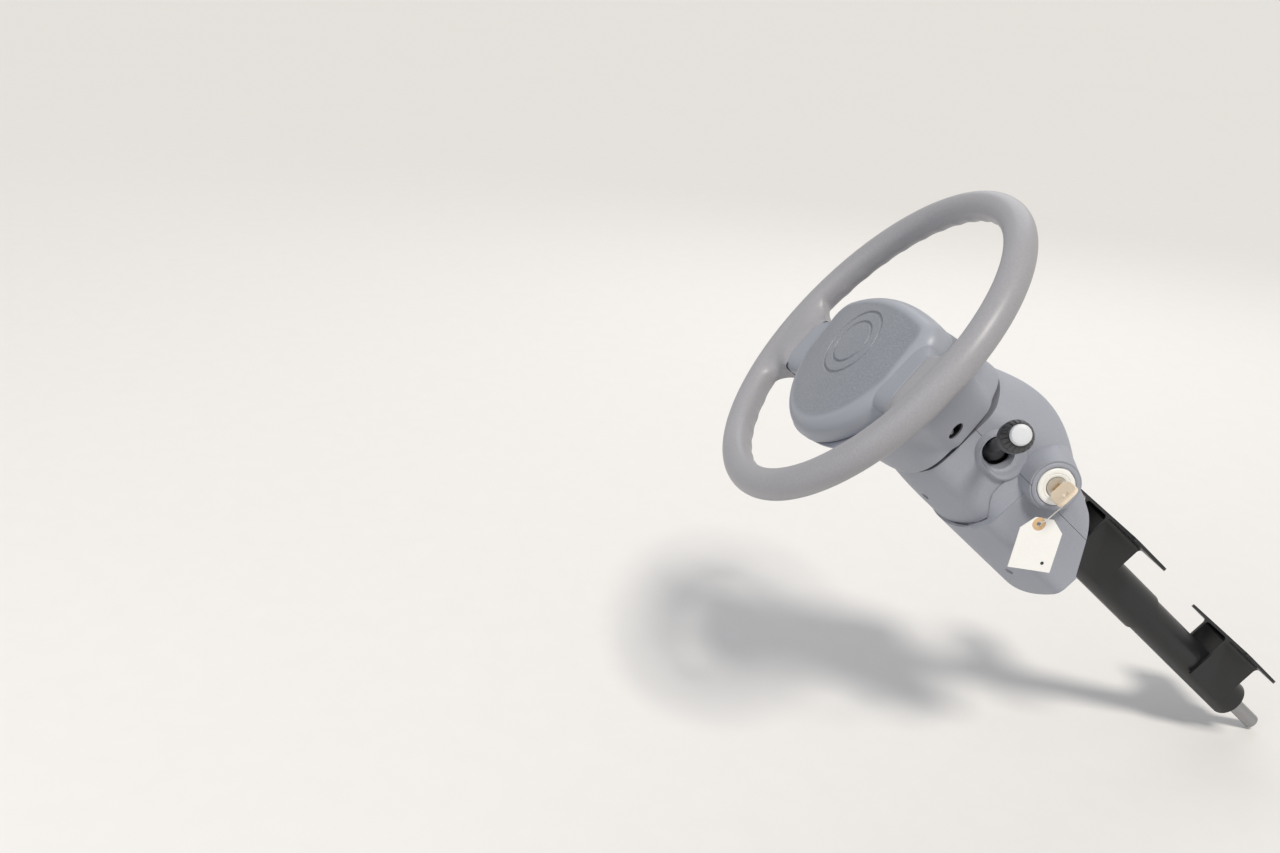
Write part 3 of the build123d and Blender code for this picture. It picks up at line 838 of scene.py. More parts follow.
    def build(self) -> None:
        """Builds the rim and dresses it."""
        ring = self.grip_ring()
        self.finger_waves(ring)
        for side in (1, -1):
            self.spoke(ring, side)
        self.leave()
        self.crown(ring)
        self.subdivide(ring, 2)
        self.settle(ring, GRIP_SKIN, "grip", ("wheel_rim",))


@dataclass
class Pad(Modeller):
    """Hub pad: grained face on smooth flanks, with a smooth wing over each spoke's root.

    Args:
        body: The body that it rides on.
        outline: Outline of the flanks.
        count: Points round a loop of the pad.
        back: Height of the rear edge.
        rear_lip: Width of the rear edge.
        rear_bevel: Bevel of the rear edge.
        wall: Thickness of the skin.
        face: Height of the crown.
        dome: Radius of the face's dome.
        lift: Height of the crown above the axis.
        edge: Radius of the edge.
        edge_leans: Angles of the loops round the edge, in degrees.
        edge_swell: How far the edge stands proud of the dome.
        brink: How far the grained face's border stands proud of it.
        face_steps: Places of the loops between the border and the outer oval, from 0 to 1.
        ovals: Half width and half height of the two pressed ovals.
        oval_centre: Their middle.
        groove: Width of their grooves.
        sink: Depth of their grooves.
        shoulder: Width of the flat border on each side of a groove.
        flank: Width of a groove's sloping side.
        middle_ovals: Half widths of the loops inside the ovals.
        middle_squash: Their height in parts of their width.
        wing_count: Points round a wing.
        wing_powers: Powers that square a wing's section off, across and in height.
        wing_sections: Distance out, crown, top and bottom of a wing's sections, and how far the edge draws in.
        lip_sections: Distance out, lowest and highest point of the sections of the lip under a wing.
        lip_front: Height of the lips' front.
        lip_back: Height of the lips' back.
    """

    body: Body = Body.WHEEL
    outline: Outline = Outline(103.0, 49.0, -107.0, 28.0, 11.8, -28.9)
    count: int = 96
    back: float = -19.8
    rear_lip: float = 3.0
    rear_bevel: float = 0.8
    wall: float = 2.6
    face: float = 15.0
    dome: float = 560.0
    lift: float = 20.0
    edge: float = 16.0
    edge_leans: tuple[float, ...] = (0, 18, 36, 54, 72)
    edge_swell: float = 0.6
    brink: float = 0.2
    face_steps: tuple[float, ...] = (0.15, 0.4, 0.65, 0.85)
    ovals: Rows = ((41.0, 36.5), (28.5, 24.5))
    oval_centre: Pair = (-3.0, -11.0)
    groove: float = 2.6
    sink: float = 1.8
    shoulder: float = 0.8
    flank: float = 0.4
    middle_ovals: tuple[float, ...] = (18.0, 9.0, 2.0)
    middle_squash: float = 0.86
    wing_count: int = 36
    wing_powers: Pair = (0.55, 0.7)
    wing_sections: Rows = (
        (78.0, 4.0, 32.0, -56.0, 0.0), (90.0, 5.0, 27.0, -56.0, 0.0), (97.0, 4.4, 21.0, -56.0, 0.0),
        (103.0, 4.0, 15.5, -56.0, 0.0), (110.0, 4.2, 11.0, -56.0, 0.0), (117.0, 4.8, 8.0, -56.0, 0.0),
        (121.6, 5.2, 6.6, -56.0, 0.0), (122.8, 4.9, 6.0, -55.6, 0.4), (123.0, 4.0, 5.0, -54.6, 1.2),
        (123.0, 1.0, 2.0, -51.6, 4.0))
    lip_sections: Rows = ((84.0, -55.2, 26.0), (92.0, -54.4, 21.0), (100.0, -52.6, 15.5), (108.0, -51.0, 10.6),
                          (117.0, -49.4, 6.2))
    lip_front: float = -6.0
    lip_back: float = -25.0

    def height(self, place: Vector) -> float:
        """Height of the dome over a flat point."""
        return self.face - self.dome + math.sqrt(self.dome ** 2 - place.x ** 2 - (place.y - self.lift) ** 2)

    def oval(self, half_width: float, half_height: float) -> Loop:
        """Points round an oval, in the order of the outline's."""
        x, y = self.oval_centre
        return [Vector((x + half_width * math.cos(t), y + half_height * math.sin(t))) for t in turns(self.count, TOP)]

    def laid(self, loop: Loop, drop: float = 0.0) -> Loop:
        """Lays a flat loop on the dome, or a little under it."""
        return [Vector((p.x, p.y, self.height(p) - drop)) for p in loop]

    def loops(self) -> list[Loop]:
        """Runs from the rear edge over the flank and the face to the middle.

        Returns:
            The loops, those of the smooth part first.
        """
        loops = [[Vector((p.x, p.y, z)) for p in self.outline.inset(inset).loop(self.count)] for inset, z in (
            (self.rear_lip, self.back), (self.rear_bevel, self.back), (0.0, self.back + self.rear_bevel))]
        border = self.outline.inset(self.edge).loop(self.count)
        for lean in map(math.radians, self.edge_leans):
            ring = self.outline.inset(self.edge * (1 - math.cos(lean))).loop(self.count)
            loops.append([Vector((p.x, p.y, self.height(b) - self.edge * (1 - math.sin(lean))
                                  + self.edge_swell * math.sin(lean))) for p, b in zip(ring, border)])
        loops.append(self.laid(border, -self.brink))
        outer = self.oval(*self.ovals[0])
        for share in self.face_steps:
            loops.append(self.laid([b.lerp(o, share) for b, o in zip(border, outer)]))
        for half_width, half_height in self.ovals:
            for step, drop in ((self.shoulder, 0), (0.0, 0), (-self.flank, self.sink),
                               (self.flank - self.groove, self.sink), (-self.groove, 0),
                               (-self.groove - self.shoulder, 0)):
                loops.append(self.laid(self.oval(half_width + step, half_height + step), drop))
        for half_width in self.middle_ovals:
            loops.append(self.laid(self.oval(half_width, half_width * self.middle_squash)))
        return loops

    def moulding(self) -> None:
        """Builds the pad and marks its grained face, which starts at the border."""
        pad = self.skin("pad", self.loops(), (False, True))
        grained = pad.data.attributes.new("grained", "FLOAT", "POINT")
        # the rear edge's three loops and those round the edge come before the border
        border = 3 + len(self.edge_leans)
        for index in range(len(pad.data.vertices)):
            grained.data[index].value = 1.0 if index // self.count >= border else 0.0
        self.thicken(pad, self.wall)
        self.subdivide(pad, 2)
        self.settle(pad, PAD_SKIN, "pad", ("hub_pad",))

    def wing(self, side: int) -> None:
        """Builds the smooth wing over one spoke's root.

        Args:
            side: Its side.
        """
        across, upward = self.wing_powers
        loops = []
        for reach, crown, top, bottom, shrink in self.wing_sections:
            middle, half = (top + bottom) / 2, (top - bottom) / 2
            level, rise = (crown + self.back) / 2, (crown - self.back - shrink) / 2
            loops.append([Vector((side * reach, middle + half * squared(math.cos(turn), across),
                                  level + rise * squared(math.sin(turn), upward)))
                          for turn in turns(self.wing_count, TOP)])
        wing = self.skin(f"pad_wing_{hand(side)}", loops, (True, True))
        self.subdivide(wing, 2)
        self.settle(wing, SMOOTH_SKIN, "pad")

    def lip(self, side: int) -> None:
        """Builds the lip under a wing, which closes the gap to the rear hub cover.

        Args:
            side: Its side.
        """
        front, back = self.lip_front, self.lip_back
        loops = [[Vector((side * reach, y, z)) for y, z in ((low, front), (low, back), (high, back), (high, front))]
                 for reach, low, high in self.lip_sections]
        self.settle(self.skin(f"wing_lip_{hand(side)}", loops, (True, True)), SMOOTH_SKIN, "pad")

    def build(self) -> None:
        """Builds the pad, its wings and the lips under them."""
        self.moulding()
        for side in (1, -1):
            self.wing(side)
            self.lip(side)


@dataclass
class HubCover(Modeller):
    """Hollow cover behind the pad: a cone to the column with a soft cheek behind each spoke.

    Args:
        body: The body that it rides on.
        count: Points round a section.
        middle: Height that the sections are drawn round.
        wall: Thickness of the cover.
        stations: For each section its station, the cone's half width, top and bottom, and the cheeks' reach,
            middle height and half height.
        cone_power: Power of the cone's superellipse.
        cheek_power: Power of the cheeks' superellipse.
        blend_power: Power that blends the two; a higher one gives a sharper valley.
        cheek_least: Least half height of the cheeks.
        flange: Front and rear station of the flange that closes the front.
        flange_inset: How far the flange stays inside the cover's skin.
        access: Place of the right access hole's bottom.
        access_radius: Radius of the holes before they are stretched.
        access_stretch: Stretch of their height and of their length along the column.
        access_facets: Facets of the drill and of the sleeves.
        drill: Length of the drill, and how far its middle lies outside the hole's bottom.
        sleeve: Radius, distance out from the bottom, and slope of the rings of a hole's sleeve.
        screw_head: The screw at a hole's bottom.
        screw_seat: How far the screw sits out from the hole's bottom and above its middle.
        screw_turn: Angle that its recess is turned by, in radians.
    """

    body: Body = Body.WHEEL
    count: int = 96
    middle: float = -20.0
    wall: float = 2.6
    stations: Rows = (
        (-20.3, 102.5, 47.5, -105.5, 121.0, -19.0, 35.0), (-22.5, 103.0, 48.5, -106.5, 121.5, -18.0, 36.0),
        (-36.0, 90.0, 52.0, -95.0, 112.0, -13.0, 38.0), (-52.0, 79.0, 56.0, -85.5, 102.0, -8.5, 39.5),
        (-76.0, 73.0, 60.0, -77.5, 87.6, -4.0, 35.5), (-98.0, 69.0, 63.0, -73.0, 75.8, -1.0, 29.5),
        (-102.0, 68.6, 63.2, -72.4, 73.8, -0.5, 28.6), (-103.0, 67.8, 62.6, -71.6, 72.6, -0.5, 28.0))
    cone_power: float = 2.9
    cheek_power: int = 9
    blend_power: int = 22
    cheek_least: float = 4.0
    flange: Pair = (-20.6, -22.4)
    flange_inset: float = 1.4
    access: Triple = (70.0, -18.5, -86.0)
    access_radius: float = 7.0
    access_stretch: Pair = (1.28, 0.8)
    access_facets: tuple[int, int] = (40, 32)
    drill: Pair = (60.0, 18.0)
    sleeve: Rows = ((7.0, 8.4, 0.58), (7.0, 9.8, 0.58), (6.4, 9.8, 0.58), (6.2, -4.0, 0.0))
    screw_head: PanHead = PanHead(3.6)
    screw_seat: Pair = (4.0, -2.6)
    screw_turn: float = 0.6

    def reach(self, angle: float, half: float, top: float, bottom: float, cheek: float, level: float,
              span: float) -> float:
        """Distance of a section's edge from its middle in one direction.

        Args:
            angle: Direction from the right, in radians.
            half: The cone's half width.
            top: The cone's top.
            bottom: The cone's bottom.
            cheek: How far out the cheeks stand.
            level: Height of the cheeks' middle.
            span: Half of the cheeks' height.

        Returns:
            The distance from the section's middle.
        """
        across, rise = math.cos(angle), math.sin(angle)
        tall = (top - self.middle) if rise > 0 else (self.middle - bottom)
        cone = superellipse(across, rise, half, tall, self.cone_power)
        edge = level + span if rise > 0 else level - span
        height = max(abs(edge - self.middle), self.cheek_least)
        box = superellipse(across, rise, cheek, height, self.cheek_power)
        return (cone ** self.blend_power + box ** self.blend_power) ** (1 / self.blend_power)

    def section(self, station: float, shape: tuple[float, ...], inset: float = 0.0) -> Loop:
        """Points round the cover at one station.

        Args:
            station: The section's station.
            shape: The section's sizes, as in the stations.
            inset: Distance inwards from the cover's skin.

        Returns:
            The points, from the top anticlockwise.
        """
        loop = []
        for angle in turns(self.count, TOP):
            distance = self.reach(angle, *shape) - inset
            loop.append(Vector((distance * math.cos(angle), self.middle + distance * math.sin(angle), station)))
        return loop

    def bore(self, cover: Piece, side: int) -> None:
        """Bores the access hole of one cheek.

        Args:
            cover: The cover.
            side: The cheek's side.
        """
        x, y, z = self.access
        length, out = self.drill
        bpy.ops.object.select_all(action="DESELECT")
        bpy.ops.mesh.primitive_cylinder_add(vertices=self.access_facets[0], radius=self.access_radius, depth=length,
                                            location=(side * (x + out), y, z), rotation=(0, math.pi / 2, 0))
        drill = bpy.context.object
        bpy.ops.object.transform_apply(location=False, rotation=True, scale=False)
        drill.scale = (1.0, *self.access_stretch)
        bpy.context.view_layer.update()
        self.cut(cover, drill)

    def access_screw(self, side: int) -> None:
        """Sets a sleeve with a cross-head screw into one access hole.

        Args:
            side: The hole's side.
        """
        x, y, z = self.access
        loops = []
        for radius, reach, lean in self.sleeve:
            loop = []
            for turn in turns(self.access_facets[1]):
                rise = radius * self.access_stretch[1] * math.cos(turn)
                level = y + radius * self.access_stretch[0] * math.sin(turn)
                loop.append(Vector((side * (x + reach + lean * rise), level, z + rise)))
            loops.append(loop)
        self.settle(self.skin(f"access_sleeve_{hand(side)}", loops, (False, True)), BLACK_NYLON, "black")
        turn = Matrix.Rotation(side * math.pi / 2, 4, "Y") @ Matrix.Rotation(self.screw_turn, 4, "Z")
        seat = Matrix.Translation((side * (x + self.screw_seat[0]), y + self.screw_seat[1], z))
        screw = self.screw(f"access_screw_{hand(side)}", self.screw_head)
        self.settle(screw, ZINC_SCREW, "shaft", place=self.frame @ seat @ turn)

    def build(self) -> None:
        """Builds the cover, the flange that the pad lands on, and two access holes with a screw in each."""
        cover = self.skin("hub_cover", [self.section(station, tuple(shape)) for station, *shape in self.stations])
        self.subdivide(cover, 1)
        self.thicken(cover, self.wall)
        for side in (1, -1):
            self.bore(cover, side)
        self.settle(cover, COVER_ABS, "cover", ("rear_hub_cover",), smooth=50.0)
        loops = [self.section(station, self.stations[0][1:], self.flange_inset) for station in self.flange]
        self.settle(self.skin("hub_cover_flange", loops, (True, True)), COVER_ABS, "cover")
        for side in (1, -1):
            self.access_screw(side)


@dataclass
class Stalk(Modeller):
    """Switch lever with a domed boot at its root and a rotary knob on its end.

    Args:
        side: Its side.
        root: The right lever's root in the switch.
        tip: The right knob's end.
        knob_length: Length of the knob.
        lever: Distance from the root and radius of the lever's profile.
        knob: Distance from the knob's start and radius of its profile.
        cap: The same of its pale end.
        ribs: Grooves of the knob's skirt.
        facets: Facets of the lever, the knob and the cap.
    """

    side: int = 1
    root: Triple = (46.0, 8.0, -143.0)
    tip: Triple = (185.0, 34.0, -77.0)
    knob_length: float = 46.0
    lever: Rows = ((10.0, 0.0), (10.0, 11.0), (12.0, 12.8), (18.0, 13.3), (23.0, 12.6), (27.0, 10.6), (29.6, 8.2),
                   (31.6, 6.6), (36.0, 6.2), (70.0, 5.9), (108.0, 5.6), (111.0, 5.6), (111.0, 0.0))
    knob: Rows = ((0.0, 0.0), (0.0, 10.0), (0.6, 11.6), (3.0, 13.4), (8.0, 14.1), (23.0, 14.5), (24.2, 14.1),
                  (24.6, 12.8), (26.2, 12.8), (26.6, 13.6), (27.4, 14.3), (28.2, 14.3), (29.0, 14.2), (34.0, 12.9),
                  (38.6, 11.2), (39.6, 10.4), (39.4, 8.6), (39.4, 0.0))
    cap: Rows = ((38.6, 0.0), (38.6, 9.2), (40.4, 9.3), (44.4, 9.0), (45.6, 8.4), (46.1, 7.2), (46.2, 4.0),
                 (46.2, 0.0))
    ribs: Ribs = Ribs(28.6, 39.8, 1.0)
    facets: tuple[int, int, int] = (40, 72, 48)

    def build(self) -> None:
        """Builds the lever, the ribbed knob and its pale end."""
        word = hand(self.side)
        root, tip = (Vector((self.side * x, y, z)) for x, y, z in (self.root, self.tip))
        out = (tip - root).normalized()
        turn = out.to_track_quat("Z", "Y").to_matrix().to_4x4()
        place = self.frame @ Matrix.Translation(root) @ turn
        lever = self.lathe(f"lever_{word}", self.lever, self.facets[0])
        self.subdivide(lever, 1)
        self.settle(lever, BLACK_NYLON, "black", (f"{word}_stalk",), place)
        place = self.frame @ Matrix.Translation(tip - out * self.knob_length) @ turn
        knob = self.lathe(f"knob_{word}", self.knob, self.facets[1], self.ribs)
        self.settle(knob, BLACK_NYLON, "black", (f"{word}_knob",), place)
        self.settle(self.lathe(f"knob_cap_{word}", self.cap, self.facets[2]), PALE_CAP, "black", place=place)


@dataclass
class PortLip(Modeller):
    """Soft raised lip round a lever's port.

    Args:
        side: Its side.
        height: Height of the port's middle.
        count: Points round the lip.
        wall: Thickness of the lip.
        slant: How fast a ring's straight stretch opens on both sides of its middle.
        rings: Reach, middle station, half length and half height of the lip's rings, from its foot over its
            crest into the port.
    """

    side: int = 1
    height: float = 11.0
    count: int = 56
    wall: float = 1.6
    slant: float = 6.0
    rings: Rows = (
        (68.0, -144.0, 29.0, 22.8), (72.6, -144.0, 27.4, 21.2), (75.4, -144.0, 26.0, 19.9),
        (77.2, -143.8, 24.7, 18.7), (77.8, -143.0, 23.6, 18.0), (77.2, -141.6, 22.4, 17.2),
        (76.8, -140.2, 21.2, 16.4), (77.4, -138.8, 19.8, 15.6), (77.2, -137.4, 18.3, 14.8),
        (75.6, -136.7, 17.2, 13.9), (72.0, -136.5, 16.9, 13.6), (63.0, -136.5, 16.8, 13.4))

    def build(self) -> None:
        """Builds the lip as one ring over the cover's edge."""
        loops = []
        for reach, station, half_length, half_height in self.rings:
            straight = half_length - half_height
            loops.append([Vector((self.side * reach, self.height + half_height * math.sin(turn),
                                  station + half_height * math.cos(turn)
                                  + math.copysign(straight, math.cos(turn))
                                  * min(1, self.slant * abs(math.cos(turn))))) for turn in turns(self.count)])
        lip = self.skin(f"port_lip_{hand(self.side)}", loops)
        self.thicken(lip, self.wall)
        self.subdivide(lip, 1)
        self.settle(lip, COVER_ABS, "cover")


@dataclass
class Lock(Modeller):
    """Ignition lock's ring, and the key standing in it.

    Args:
        face: Middle of the lock's face.
        angle: Angle that its axis leans towards the driver, in degrees.
        facets: Facets of the ring and the collar.
        ring: Height and radius of the ring's profile.
        collar: Height and radius of the profile of the collar round it.
        bow_start: Height at which the key's head starts.
        bow_length: Length of the head.
        bow_half: Half width of the head.
        bow_power: Power of its superellipse.
        bow_waist: How far it narrows towards the blade, as a part of its width.
        bow_thickness: Thickness of the head.
        bow_rim: Thickness at the eye's edge, as a part of the head's.
        bow_layers: How far each loop of a face lies in from the edge, and its part of the thickness.
        bow_count: Points round the head.
        eye_from_end: Distance of the eye's middle from the head's end.
        eye_radius: Radius of the eye.
        eye_border: Radius of the rounding round the eye, in radii of the eye.
        blade_span: Heights at which the blade starts and ends.
        blade_width: Width of the blade.
        blade_thickness: Thickness of the blade.
        blade_bevel: Bevel of the blade's edges.
        blade_groove: Half width of the blade's groove at its mouth and at its bottom, and the part of half the
            thickness that the bottom lies at.
    """

    face: Triple = (100.0, 26.0, -190.0)
    angle: float = 4.0
    facets: int = 80
    ring: Rows = ((-3.7, 9.8), (-3.7, 17.6), (0.0, 17.9), (0.8, 17.7), (1.4, 17.0), (1.6, 16.0), (1.65, 13.6),
                  (1.1, 13.2), (1.1, 12.6), (1.65, 12.2), (1.5, 11.0), (1.0, 10.0), (0.4, 9.8), (-3.7, 9.8))
    collar: Rows = ((-3.6, 18.3), (-0.6, 18.3), (0.1, 18.7), (0.5, 19.6), (0.4, 20.8), (0.0, 22.0), (-0.6, 22.8),
                    (-0.6, 21.4), (-3.6, 20.6), (-3.6, 18.3))
    bow_start: float = 4.6
    bow_length: float = 28.4
    bow_half: float = 11.9
    bow_power: float = 4.5
    bow_waist: float = 0.18
    bow_thickness: float = 3.6
    bow_rim: float = 0.6
    bow_layers: Rows = ((0.0, 0.6), (0.8, 1.0), (2.0, 1.0))
    bow_count: int = 64
    eye_from_end: float = 6.7
    eye_radius: float = 2.9
    eye_border: float = 1.15
    blade_span: Pair = (-3.5, 8.0)
    blade_width: float = 8.4
    blade_thickness: float = 2.4
    blade_bevel: float = 0.5
    blade_groove: Triple = (1.1, 0.8, 0.45)

    @property
    def place(self) -> Matrix:
        """Matrix from the lock's own millimetres, its z out of the face, to the shared frame."""
        lean = math.radians(90 - self.angle)
        return self.frame @ Matrix.Translation(self.face) @ Matrix.Rotation(lean, 4, "Y")

    def key_head(self) -> None:
        """Builds the moulded head over the key's bow, with its eye."""
        end = self.bow_start + self.bow_length
        middle, eye = end - self.bow_length / 2, end - self.eye_from_end
        outer, hole = [], []
        for turn in turns(self.bow_count):
            across, rise = math.cos(turn), math.sin(turn)
            waist = self.bow_half * (1.0 - self.bow_waist * max(0.0, -rise) ** 2)
            scale = superellipse(across, rise, waist, self.bow_length / 2, self.bow_power)
            outer.append((middle + scale * rise, scale * across))
            hole.append((eye + self.eye_radius * rise, self.eye_radius * across))
        half, border = self.bow_thickness / 2, self.eye_border
        loops = []
        for shrink, thick in self.bow_layers:
            part = 1 - shrink / self.bow_half
            loops.append([Vector((thick * half, part * y, middle + part * (z - middle))) for z, y in outer])
        loops.append([Vector((half, y * border, eye + border * (z - eye))) for z, y in hole])
        loops.append([Vector((self.bow_rim * half, y, z)) for z, y in hole])
        mirrored = [[Vector((-p.x, p.y, p.z)) for p in loop] for loop in reversed(loops)]
        head = self.skin("key_head", loops + mirrored, round_trip=True)
        self.settle(head, TAN_HEAD, "key", ("key",), self.place, smooth=35.0)

    def blade(self) -> None:
        """Builds the blade between the rotor and the head, grooved along one side."""
        half, thick, bevel = self.blade_width / 2, self.blade_thickness / 2, self.blade_bevel
        mouth, bottom, depth = self.blade_groove
        section = ((thick, half - bevel), (thick, mouth), (depth * thick, bottom), (depth * thick, -bottom),
                   (thick, -mouth), (thick, bevel - half), (thick - bevel, -half), (bevel - thick, -half),
                   (-thick, bevel - half), (-thick, half - bevel), (bevel - thick, half), (thick - bevel, half))
        loops = [[Vector((x, y, z)) for x, y in section] for z in self.blade_span]
        blade = self.skin("key_blade", loops, (True, True))
        self.settle(blade, KEY_BRASS, "key", place=self.place, smooth=20.0)

    def build(self) -> None:
        """Builds the ring, the collar round it and the key."""
        self.settle(self.lathe("lock_ring", self.ring, self.facets), CREAM_ABS, "bezel", ("lock_bezel",), self.place)
        self.settle(self.lathe("lock_collar", self.collar, self.facets), COVER_ABS, "cover", place=self.place)
        self.key_head()
        self.blade()


@dataclass
class Tag(Modeller):
    """Card tag on its string.

    Args:
        centre: The card's middle, in millimetres of the shared frame.
        roll: Angle that the card hangs rolled by, in degrees.
        width: Width of the card.
        height: Height of the card.
        clip: Length cut off the upper corners.
        thickness: Thickness of the card.
        curl: Four times how far its sides bend forward and its ends back, as card does that has been handled.
        count: Points round the card.
        card_steps: Places of the loops between the card's edge and its hole, from 0 to 1.
        grazing: Smallest share of a direction across an edge at which it counts as meeting the edge.
        hole: The hole's place on the card.
        hole_radius: Radius of the hole.
        patch: Radius of the patch's rings, and their height above the card's face.
        patch_count: Points round the patch.
        dot: The dot's place on the card.
        dot_rings: Radius of the dot's rings, and their height above the card's face.
        dot_count: Points round the dot.
        string: The string's route in the shared frame, in metres, as the part's source has it.
        string_diameter: Its diameter, in metres.
        string_steps: Steps of the string's line between two points, and of a quarter of its section.
    """

    centre: Triple = (112.0, -134.0, 25.5)
    roll: float = 9.0
    width: float = 42.0
    height: float = 52.0
    clip: float = 12.0
    thickness: float = 0.8
    curl: Pair = (0.9, 0.7)
    count: int = 96
    card_steps: tuple[float, ...] = (0.0, 0.02, 0.35, 0.7, 0.97, 1.0)
    grazing: float = 1e-6
    hole: Pair = (-4.0, 20.0)
    hole_radius: float = 2.2
    patch: Rows = ((2.3, -0.1), (2.3, 0.22), (6.2, 0.22), (6.5, 0.1), (6.5, -0.1))
    patch_count: int = 40
    dot: Pair = (10.9, -17.6)
    dot_rings: Rows = ((1.7, -0.1), (1.7, 0.08), (1.4, 0.14), (0.4, 0.14))
    dot_count: int = 24
    string: Rows = ((0.1262, -0.1244, 0.0810), (0.1262, -0.1169, 0.0744), (0.1221, -0.1261, 0.0611),
                    (0.1170, -0.1346, 0.0472), (0.1070, -0.1346, 0.0472))
    string_diameter: float = 0.0012
    string_steps: tuple[int, int] = (16, 3)

    @property
    def place(self) -> Matrix:
        """Places the card.

        Returns:
            Matrix from the card's own millimetres, x across it and z out of its face, to the shared frame.
        """
        roll = math.radians(self.roll)
        across = Vector((0, math.cos(roll), -math.sin(roll)))
        upward = Vector((0, math.sin(roll), math.cos(roll)))
        turn = Matrix((across, upward, Vector((1, 0, 0)))).transposed().to_4x4()
        return Matrix.Translation(Vector(self.centre) * MM) @ turn @ Matrix.Scale(MM, 4)

    def rays(self) -> list[float]:
        """Spreads directions round the hole, with one at each of the card's corners.

        Returns:
            The directions, in radians.
        """
        half_width, half_height, clip = self.width / 2, self.height / 2, self.clip
        rays = turns(self.count)
        for x, y in ((half_width, -half_height), (-half_width, -half_height), (half_width, half_height - clip),
                     (-half_width, half_height - clip), (half_width - clip, half_height),
                     (clip - half_width, half_height)):
            corner = math.atan2(y - self.hole[1], x - self.hole[0])
            offsets = [abs((ray - corner + math.pi) % (2 * math.pi) - math.pi) for ray in rays]
            rays[offsets.index(min(offsets))] = corner
        return rays

    def edge(self, turn: float) -> Vector:
        """Point of the card's edge seen from the hole in one direction.

        Args:
            turn: Direction from the hole, in radians.

        Returns:
            The point, flat.
        """
        ray, start = Vector((math.cos(turn), math.sin(turn))), Vector(self.hole)
        half_width, half_height = self.width / 2, self.height / 2
        cut = (half_width + half_height - self.clip) / math.sqrt(2)
        walls = [(Vector(normal).normalized(), distance) for normal, distance in (
            ((1, 0), half_width), ((-1, 0), half_width), ((0, 1), half_height), ((0, -1), half_height),
            ((1, 1), cut), ((-1, 1), cut))]
        reach = min((distance - start.dot(normal)) / ray.dot(normal) for normal, distance in walls
                    if ray.dot(normal) > self.grazing)
        return start + ray * reach

    def warp(self, place: Vector) -> Vector:
        """Moves a place on the flat card to where the bent card has it."""
        curl = self.curl[0] * (place.x / self.width) ** 2 - self.curl[1] * (place.y / self.height) ** 2
        return Vector((place.x, place.y, place.z + curl))

    def rings(self, profile: Rows, centre: Pair, count: int) -> list[Loop]:
        """Rings round a place on the card's face.

        Args:
            profile: Radius and height above the face of each ring.
            centre: The place.
            count: Points round a ring.

        Returns:
            The rings.
        """
        return [[self.warp(Vector((centre[0] + radius * math.cos(turn), centre[1] + radius * math.sin(turn),
                                   self.thickness / 2 + height))) for turn in turns(count)]
                for radius, height in profile]

    def build(self) -> None:
        """Builds the card, the patch round its hole, its dot and its string."""
        rays = self.rays()
        rim = [self.edge(turn) for turn in rays]
        hole = [Vector(self.hole) + self.hole_radius * Vector((math.cos(t), math.sin(t))) for t in rays]
        rings = [[p.lerp(h, share) for p, h in zip(rim, hole)] for share in self.card_steps]
        front, back = ([[self.warp(Vector((p.x, p.y, height))) for p in ring] for ring in rings]
                       for height in (self.thickness / 2, -self.thickness / 2))
        card = self.skin("tag_card", front + back[::-1], round_trip=True)
        self.settle(card, TAG_CARD, "paper", ("key_tag",), self.place, smooth=30.0)
        patch = self.skin("tag_patch", self.rings(self.patch, self.hole, self.patch_count))
        self.settle(patch, TAN_PATCH, "paper", place=self.place)
        dot = self.skin("tag_dot", self.rings(self.dot_rings, self.dot, self.dot_count), (False, True))
        self.settle(dot, BLACK_NYLON, "paper", place=self.place)
        self.tie((card, patch, dot))

    def tie(self, carried: tuple[Piece, ...]) -> None:
        """Runs the string from the key's eye through the card's hole.

        Args:
            carried: The pieces that hang on it; not used.
        """
        curve = bpy.data.curves.new("tag_cord", "CURVE")
        curve.dimensions = "3D"
        spline = curve.splines.new("NURBS")
        spline.points.add(len(self.string) - 1)
        for point, place in zip(spline.points, self.string):
            point.co = (*place, 1.0)
        spline.order_u = 3
        spline.use_endpoint_u = True
        spline.resolution_u, curve.bevel_resolution = self.string_steps
        curve.bevel_depth = self.string_diameter / 2
        curve.use_fill_caps = True
        string = bpy.data.objects.new("tag_cord", curve)
        bpy.context.scene.collection.objects.link(string)
        curve.materials.append(WHITE_COTTON.shared())
        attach(string, self.body.value)
        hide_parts("tag_string")
        LOG.info("%s on %s: a cord of %d points", string.name, self.body.value, len(self.string))


@dataclass
class CoverScrews(Modeller):
    """Screws at the bottom of the lower cover's recesses.

    Args:
        seats: Distance to the side and station of each pair.
        floor: Height of the recesses' bottoms.
        head: The screws' shape.
    """

    seats: Rows = ((30.0, -143.0), (58.0, -250.0))
    floor: float = -54.2
    head: PanHead = PanHead(3.7)

    def build(self) -> None:
        """Models one screw and copies it to the other seats."""
        model = self.screw("cover_screw", self.head)
        turn = Matrix.Rotation(math.pi / 2, 4, "X")
        seats = [(side * spread, self.floor, station) for spread, station in self.seats for side in (1, -1)]
        for number, seat in enumerate(seats, 1):
            screw = model.copy()
            screw.data = model.data.copy()
            screw.name = f"cover_screw_{number}"
            bpy.context.scene.collection.objects.link(screw)
            self.settle(screw, ZINC_SCREW, "shaft", place=self.frame @ Matrix.Translation(seat) @ turn)
        bpy.data.objects.remove(model)


